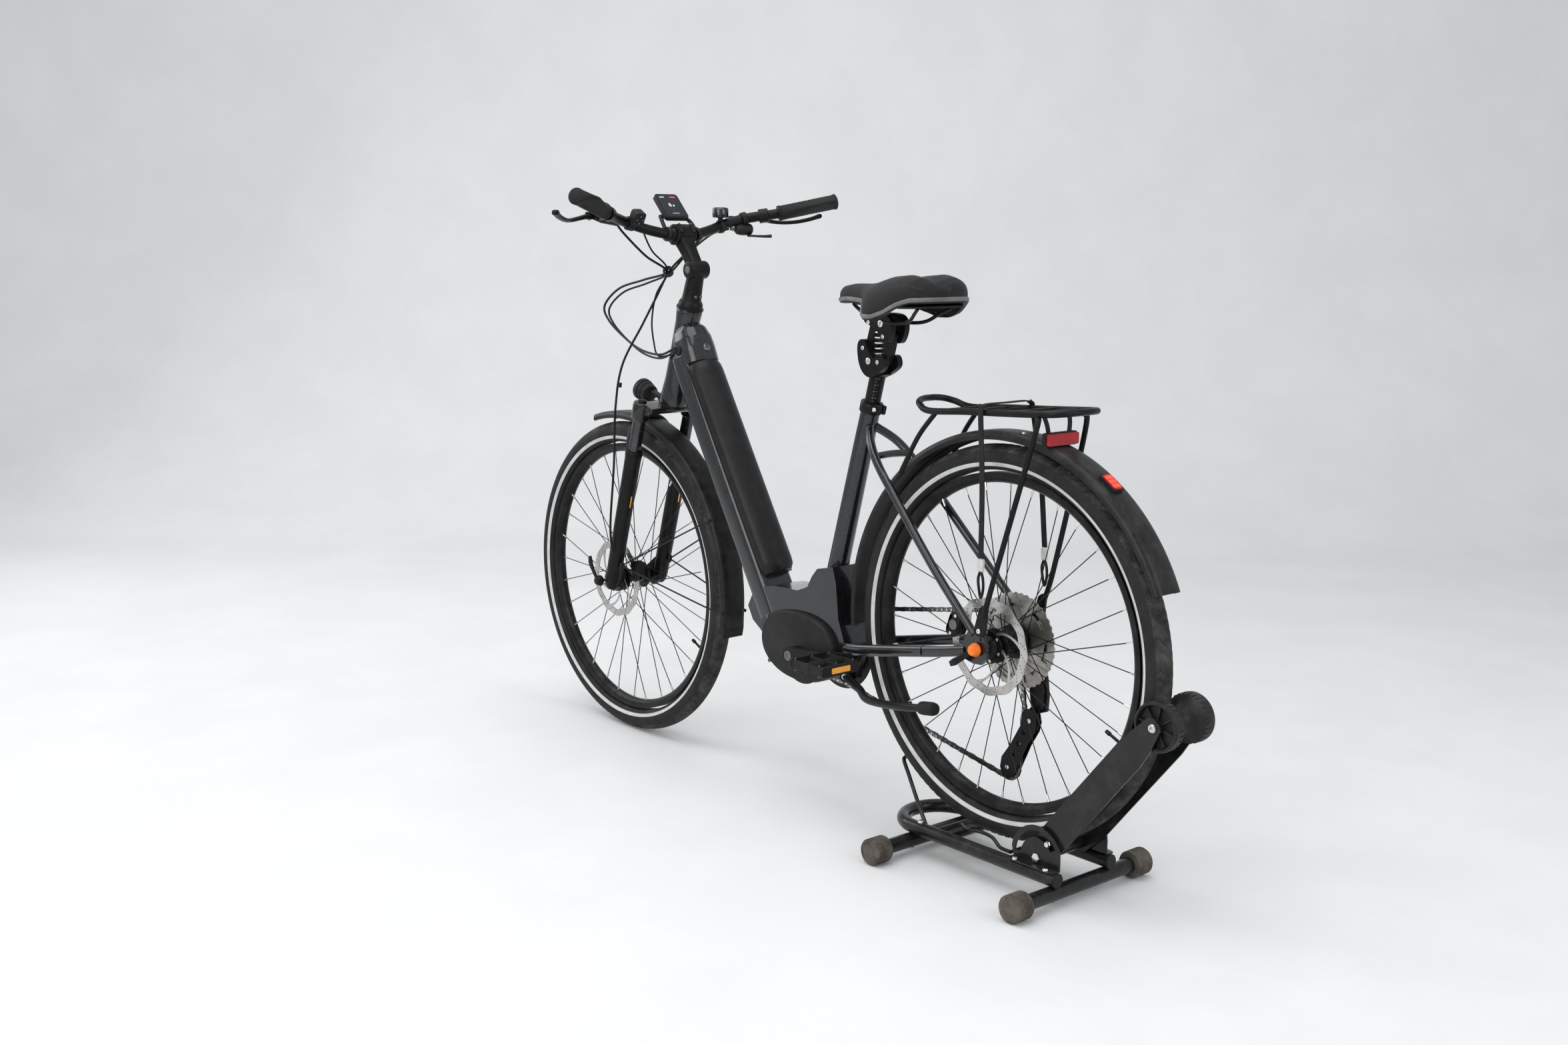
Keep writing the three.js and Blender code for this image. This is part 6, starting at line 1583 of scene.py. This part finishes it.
# %% Grips
def grip(name, node, side):
    """Along the grip, t from 0 to 1, the section is a circle of 16.2 mm whose back grows into a flatter
    wing, up to 21 mm longer behind. Twenty grooves along it are 0.7 mm deep."""
    mirror = np.array([1, side, 1])
    a, b = GRIP_INNER * mirror, GRIP_OUTER * mirror
    d = (b - a) / np.linalg.norm(b - a)
    back = np.cross([0, 0, 1.0], d) * side
    back /= np.linalg.norm(back)
    top = np.cross(back, d) * side
    if top[2] < 0:
        top = -top
    t = np.linspace(0, 1, 70)[:, None]
    ang = np.linspace(0, 2 * np.pi, 40, endpoint=False)[None]
    wing = np.interp(t, [0, 0.1, 0.35, 0.72, 0.93, 1.0], [0, 1, 10, 21, 13, 2])
    behind = np.clip(np.cos(ang), 0, 1)
    groove = 0.7 * (np.cos(2 * np.pi * t * 20) > 0.55) * (t > 0.12) * (t < 0.9) * (np.cos(ang) < 0.35)
    r_back = 16.2 + wing * behind ** 1.3 - groove
    flat = 1 - 0.45 * behind ** 1.4 * (wing / 24)
    ends = np.clip(np.minimum(t, 1 - t) * 28, 0, 1) ** 0.4
    s = (r_back * np.cos(ang)) * (0.72 + 0.28 * ends)
    h = ((16.2 - groove) * np.sin(ang) * flat + 3.4 * behind * wing / 24) * (0.72 + 0.28 * ends)
    P = a + d * 0.002 + (b - a - d * 0.002) * t[..., None] + (back * s[..., None] + top * h[..., None]) / 1000
    piece = Maker(name).add(grid(P, ring_v=True, caps=True), "grip_rubber")
    for q in (0.004, 0.131):
        ring_at = a + d * q
        piece.add(turned([(11.3, -3.6), (16.2, -3.6), (17.2, -2.6), (17.2, 2.6), (16.2, 3.6), (11.3, 3.6)], ring_at, 40,
                         d), "satin_black")
    piece.add(screw(a + d * 0.004 - top * 0.0172, -top, 2.8, 1.4, 16), "dark_steel")
    return piece.done("steering", node, smooth=50)


grip("left_grip", "grip_left", 1)
grip("right_grip", "grip_right", -1)

# %% [markdown]
# ## Brakes and switches on the bar
# Each brake has a ring clamp, a slanting cylinder and a flat curved lever. The shifter's pod hangs below the
# bar with its thumb lever, the remote has raised buttons, and a small domed bell sits on its own clamp.

# %% Brake bodies and levers
LEVER_PIVOT = at(992, 222, 1184)


def brake(side, name):
    """A ring on the bar, a tapering cylinder along it, and the boot where its hose leaves."""
    mirror = np.array([1, side, 1])
    a = (BAR[4] + (GRIP_INNER - BAR[4]) * 0.35) * mirror
    b = (BAR[4] + (GRIP_INNER - BAR[4]) * 0.68) * mirror
    pivot = LEVER_PIVOT * mirror
    low_end, high_end = at(998, side * 148, 1172), at(986, side * 213, 1184)
    piece = Maker(f"brake_{name}")
    piece.add(rod(a, b, 15.6, sides=36, rim=1.4), "satin_black")
    piece.add(rod(low_end, low_end + (high_end - low_end) * 0.7, 9.0, 11.0, 32, 1.6), "satin_black")
    piece.add(rod(low_end + (high_end - low_end) * 0.6, high_end, 11.0, 8.5, 32, 1.6), "satin_black")
    neck = [(a + b) / 2, (a + b) / 2 + np.array([0.012, 0, 0.001]), at(988, side * 196, 1181)]
    piece.add(section_tube(neck, 15, 17, 5, (0, 0, 1), 5, 5), "satin_black")
    cap_at = low_end + (high_end - low_end) * 0.35 + np.array([0, 0, 0.0085])
    piece.add(block(cap_at, (LEFT, np.array([1.0, 0, 0]), np.array([0, 0, 1.0])), (34, 15, 5), 4), "moulded_black")
    for s in (-1, 1):
        piece.add(screw(cap_at + LEFT * 0.012 * s + np.array([0, 0, 0.0024]), (0, 0, 1), 2.2, 1.0, 14), "dark_steel")
    piece.add(rod(low_end + np.array([0.001, -0.012 * side, 0.0005]), low_end, 4.0, 6.2, 20, 0.6), "soft_rubber")
    piece.add(rod(pivot + np.array([0, 0, -0.0105]), pivot + np.array([0, 0, 0.0105]), 3.0, sides=16), "bright_steel")
    piece.done("steering", f"brake_body_{name}", bevel=0.0009)
    lever = Maker(f"lever_{name}")
    line = [p * mirror for p in (LEVER_PIVOT, at(986, 252, 1178), at(973, 282, 1174), at(952, 308, 1175),
                                 at(932, 334, 1181), at(915, 353, 1189))]
    lever.add(section_tube(line, 12.5, 9.0, 3.6, (0, 0, 1), 5, 8,
                           ([0, 0.2, 0.6, 0.92, 1], [1.15, 0.95, 0.95, 1.05, 1.25])), "satin_black")
    lever.add(rod(pivot + np.array([0, 0, -0.0078]), pivot + np.array([0, 0, 0.0078]), 7.8, sides=28, rim=1.0),
              "satin_black")
    lever.add(rod(line[-1] - np.array([0.001, 0.001 * side, 0]), line[-1] + np.array([0.0, 0.002 * side, 0.0004]), 5.0,
                  4.4, 20, 1.2), "satin_black")
    lever.done(f"brake_lever_{name}", f"brake_lever_{name}", bevel=0.0005)


brake(1, "left")
brake(-1, "right")

# %% Shifter, remote and bell
seat_at = at(966, -176, 1160)
pod = Maker("shifter_pod")
shape = [(0.01, -16), (9, -16), (12.6, -12), (13.2, -4), (13.0, 10), (11, 20), (8, 23.5), (0.01, 24)]
pod.add(turned(shape, seat_at + np.array([0, 0, -0.002]), 40, (0.25, 0.97, 0)), "moulded_black")
pod.add(rod(seat_at, at(966, -172, 1181), 7.5, sides=24, rim=0.8), "satin_black")
pod.add(rod(at(968, -166, 1179), at(964, -178, 1182), 15.3, sides=36, rim=1.2), "satin_black")
pod.add(rod(seat_at + np.array([0.010, 0.022, -0.002]), seat_at + np.array([0.014, 0.032, -0.001]), 4.2, 3.4, 18, 0.6),
        "dark_steel")
pod.done("steering", "shifter", bevel=0.0006)
thumb = Maker("shift_paddle")
thumb.add(rod(at(952, -182, 1141.6), at(952, -182, 1146.4), 8.8, sides=28, rim=0.8), "moulded_black")
thumb.add(section_tube([at(952, -182, 1144), at(938, -191, 1143.4), at(924, -200, 1143), at(912, -206, 1143.6)], 8.5,
                       5.6, 2.4, (0, 0, 1), 5, 7, ([0, 0.7, 1], [0.8, 1.1, 1.35])), "moulded_black")
thumb.done("shift_lever", "shift_lever", bevel=0.0006)

remote = Maker("remote_switch")
remote.add(rod(at(980, 118, 1167), at(980, 134, 1170), 14.8, sides=36, rim=1.2), "moulded_black")
face = (np.array([-0.5, 0, 0.866]), np.array([0, 1.0, 0]), np.array([-0.866, 0, -0.5]))
pad_at = at(953, 126, 1181)
remote.add(block(pad_at, face, (31, 27, 19), 6), "moulded_black")
remote.add(rod(at(956, 126, 1184), at(978, 126, 1172), 6.5, sides=20), "moulded_black")
for k, (u, v) in enumerate(((8, 0), (-8, 0), (0, 7), (0, -7))):
    remote.add(block(pad_at + face[0] * u / 1000 + face[1] * v / 1000 + face[2] * 0.0102, face,
                     (6.5 if k < 2 else 4.5, 6.5, 1.8), 1.6), "soft_rubber")
    remote.add(block(pad_at + face[0] * u / 1000 + face[1] * v / 1000 + face[2] * 0.0112, face, (2.6, 0.6, 0.3), 0.15),
               "light_mark")
remote.done("steering", "remote", bevel=0.0008)

bell = Maker("bell_dome")
bell_seat = at(981, -118, 1166)
bell.add(rod(bell_seat + np.array([0, -0.005, -0.002]), bell_seat + np.array([0, 0.005, -0.002]), 14.8, sides=32,
             rim=1.0), "moulded_black")
bell.add(rod(bell_seat, bell_seat + np.array([0, 0, 0.024]), 5.6, sides=20), "moulded_black")
dome = [(0.01, 11), (15, 11), (17.6, 12), (18, 14), (18, 28), (17.2, 31.4), (14.6, 33.4), (8, 34), (0.01, 34)]
bell.add(turned(dome, bell_seat + np.array([0, 0, 0.006]), 44, (0, 0, 1)), "black_chrome")
bell.add(tube([bell_seat + np.array([-0.006, 0.006, 0.021]), bell_seat + np.array([-0.016, 0.008, 0.020]),
               bell_seat + np.array([-0.0185, 0.0085, 0.024])], 2.0, 10, 6), "moulded_black")
bell.done("steering", "bell", smooth=50)

# %% [markdown]
# The display is a thin glass-fronted case, tilted towards the rider on two arms. Its picture is generic: a
# figure and a few plain bars, with no words.

# %% Display
TILT = math.radians(46)
screen_right = LEFT * -1
screen_up = np.array([math.cos(TILT), 0, math.sin(TILT)])
screen_out = np.cross(screen_right, screen_up)
screen_at = at(1000, 4, 1204)
DISPLAY_AXES = (screen_right, screen_up, screen_out)
show = Maker("display_unit")
show.add(block(screen_at, DISPLAY_AXES, (60, 70, 10.4), 7), "moulded_black")
show.add(block(screen_at + screen_out * 0.0053, DISPLAY_AXES, (54, 62, 1.0), 5), "screen_glass")


def on_screen(u, v, w, h, look_of, corner=0.8):
    """A thin shape on the glass, u to the right and v up from its middle."""
    place = screen_at + screen_out * 0.0059 + screen_right * u / 1000 + screen_up * v / 1000
    show.add(block(place, DISPLAY_AXES, (w, h, 0.3), corner), look_of)


on_screen(-15, 25, 12, 1.6, "screen_white", 0.4)
on_screen(13, 25, 14, 2.2, "lit_red", 0.4)
on_screen(-4, 2, 5.5, 9, "screen_white", 2.4)
on_screen(-4, 2, 3.1, 6.4, "screen_glass", 1.4)
on_screen(5, 0, 3.2, 4.4, "screen_white", 1.2)
on_screen(0, -23, 18, 1.6, "screen_light", 0.4)
show.add(rod(at(1000, 4, 1182), at(1000, 4, 1199), 7, sides=24), "moulded_black")
for s in (1, -1):
    show.add(tube([at(972, 40 * s, 1158), at(984, 38 * s, 1172), at(1000, 32 * s, 1184)], 4.4, 14, 6), "moulded_black")
    show.add(turned([(11.4, -4), (15, -4), (15.6, -3), (15.6, 3), (15, 4), (11.4, 4)], at(966, 38 * s, 1147), 32,
                    (0.12, s, 0.2)), "moulded_black")
show.add(rod(at(1000, -34, 1184), at(1000, 34, 1184), 4.4, sides=16), "moulded_black")
show.done("steering", "display", bevel=0.0009)

# %% [markdown]
# ## Hoses and cables
# A brake hose leaves each lever. The rear brake's hose and two cables meet at a tie ahead of the stem, hang in
# a loop and enter the frame beside the head tube, so they run from the steering to the frame. The front
# brake's hose crosses ahead of the fork and runs down the left leg to its caliper.

# %% Hoses
def hose(name, points, diameter, nodes=()):
    """A tube of the given diameter along a smooth curve, left on no body; the CAD nodes it replaces are hidden."""
    path = smooth_path(points, 10)
    mesh = Maker(name).add(along(path, ring(diameter / 2000, 14)), "hose_black")
    piece = mesh_only(mesh)
    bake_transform(piece)
    if nodes:
        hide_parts(*nodes)
    return piece


def mesh_only(maker):
    """The Maker's object, made with no body."""
    mesh = bpy.data.meshes.new(maker.name)
    mesh.from_pydata(np.concatenate(maker.points), [], maker.faces)
    mesh.polygons.foreach_set("use_smooth", np.ones(len(maker.faces), bool))
    for look_of in maker.finishes:
        mesh.materials.append(FINISHES[look_of])
    piece = bpy.data.objects.new(maker.name, mesh)
    bpy.context.scene.collection.objects.link(piece)
    return piece


# These routes don't repeat the CAD's. The rear hose and the upper front hose run away from their CAD solids, and the
# two control cables have none. The forward loop's X and Z came from a measuring script and are used as it gave them,
# with a guessed Y. This is an open fault.
rear_line = [at(1004, 146, 1170), at(1012, 118, 1146), at(1016, 60, 1100), at(1016, 4, 1066), at(1098, 8, 1046),
             at(1184, 14, 1025),
             at(1235, 20, 985), at(1215, 22, 951), at(1146, 26, 915), at(1070, 36, 893), at(985, 46, 888),
             at(932, 45, 905)]
hose("rear_hose", rear_line, 5.2, ("rear_brake_hose",))
control_line = [at(958, 112, 1176), at(985, 92, 1160), at(1008, 50, 1112), at(1011, 6, 1070), at(1040, 16, 1015),
                at(1051, 20, 960),
                at(1040, 24, 915), at(1000, 40, 884), at(932, 46, 893)]
hose("control_cable", control_line, 4.0)
shift_line = [at(981, -142, 1159), at(1000, -106, 1146), at(1013, -50, 1104), at(1018, -4, 1062), at(1098, 0, 1038),
              at(1180, 6, 1016),
              at(1228, 12, 978), at(1208, 14, 944), at(1140, 18, 906), at(1066, 30, 884), at(985, 44, 880),
              at(932, 45, 898)]
hose("shift_cable", shift_line, 4.6)
front_line = [at(1004, -146, 1170), at(1008, -100, 1148), at(1012, -50, 1108), at(1013, -2, 1068), at(1042, 14, 1010),
              at(1064, 36, 950),
              at(1076, 84, 860), at(1090, 94, 760), at(1092, 98, 640), at(1112, 96, 500), at(1112, 92, 440)]
hose("front_hose", front_line, 5.2,
     ("front_brake_hose",))
ties = Maker("cable_ties")
ties.add(turned([(9.0, -6), (11.2, -6), (11.8, 0), (11.2, 6), (9.0, 6)], at(1015, 1, 1066), 20, (0.55, -0.62, -0.56)),
         "moulded_black")
ties.add(rod(at(1080, 87, 822), at(1081, 88, 812), 4.4, sides=12), "moulded_black")
ties.done("steering")
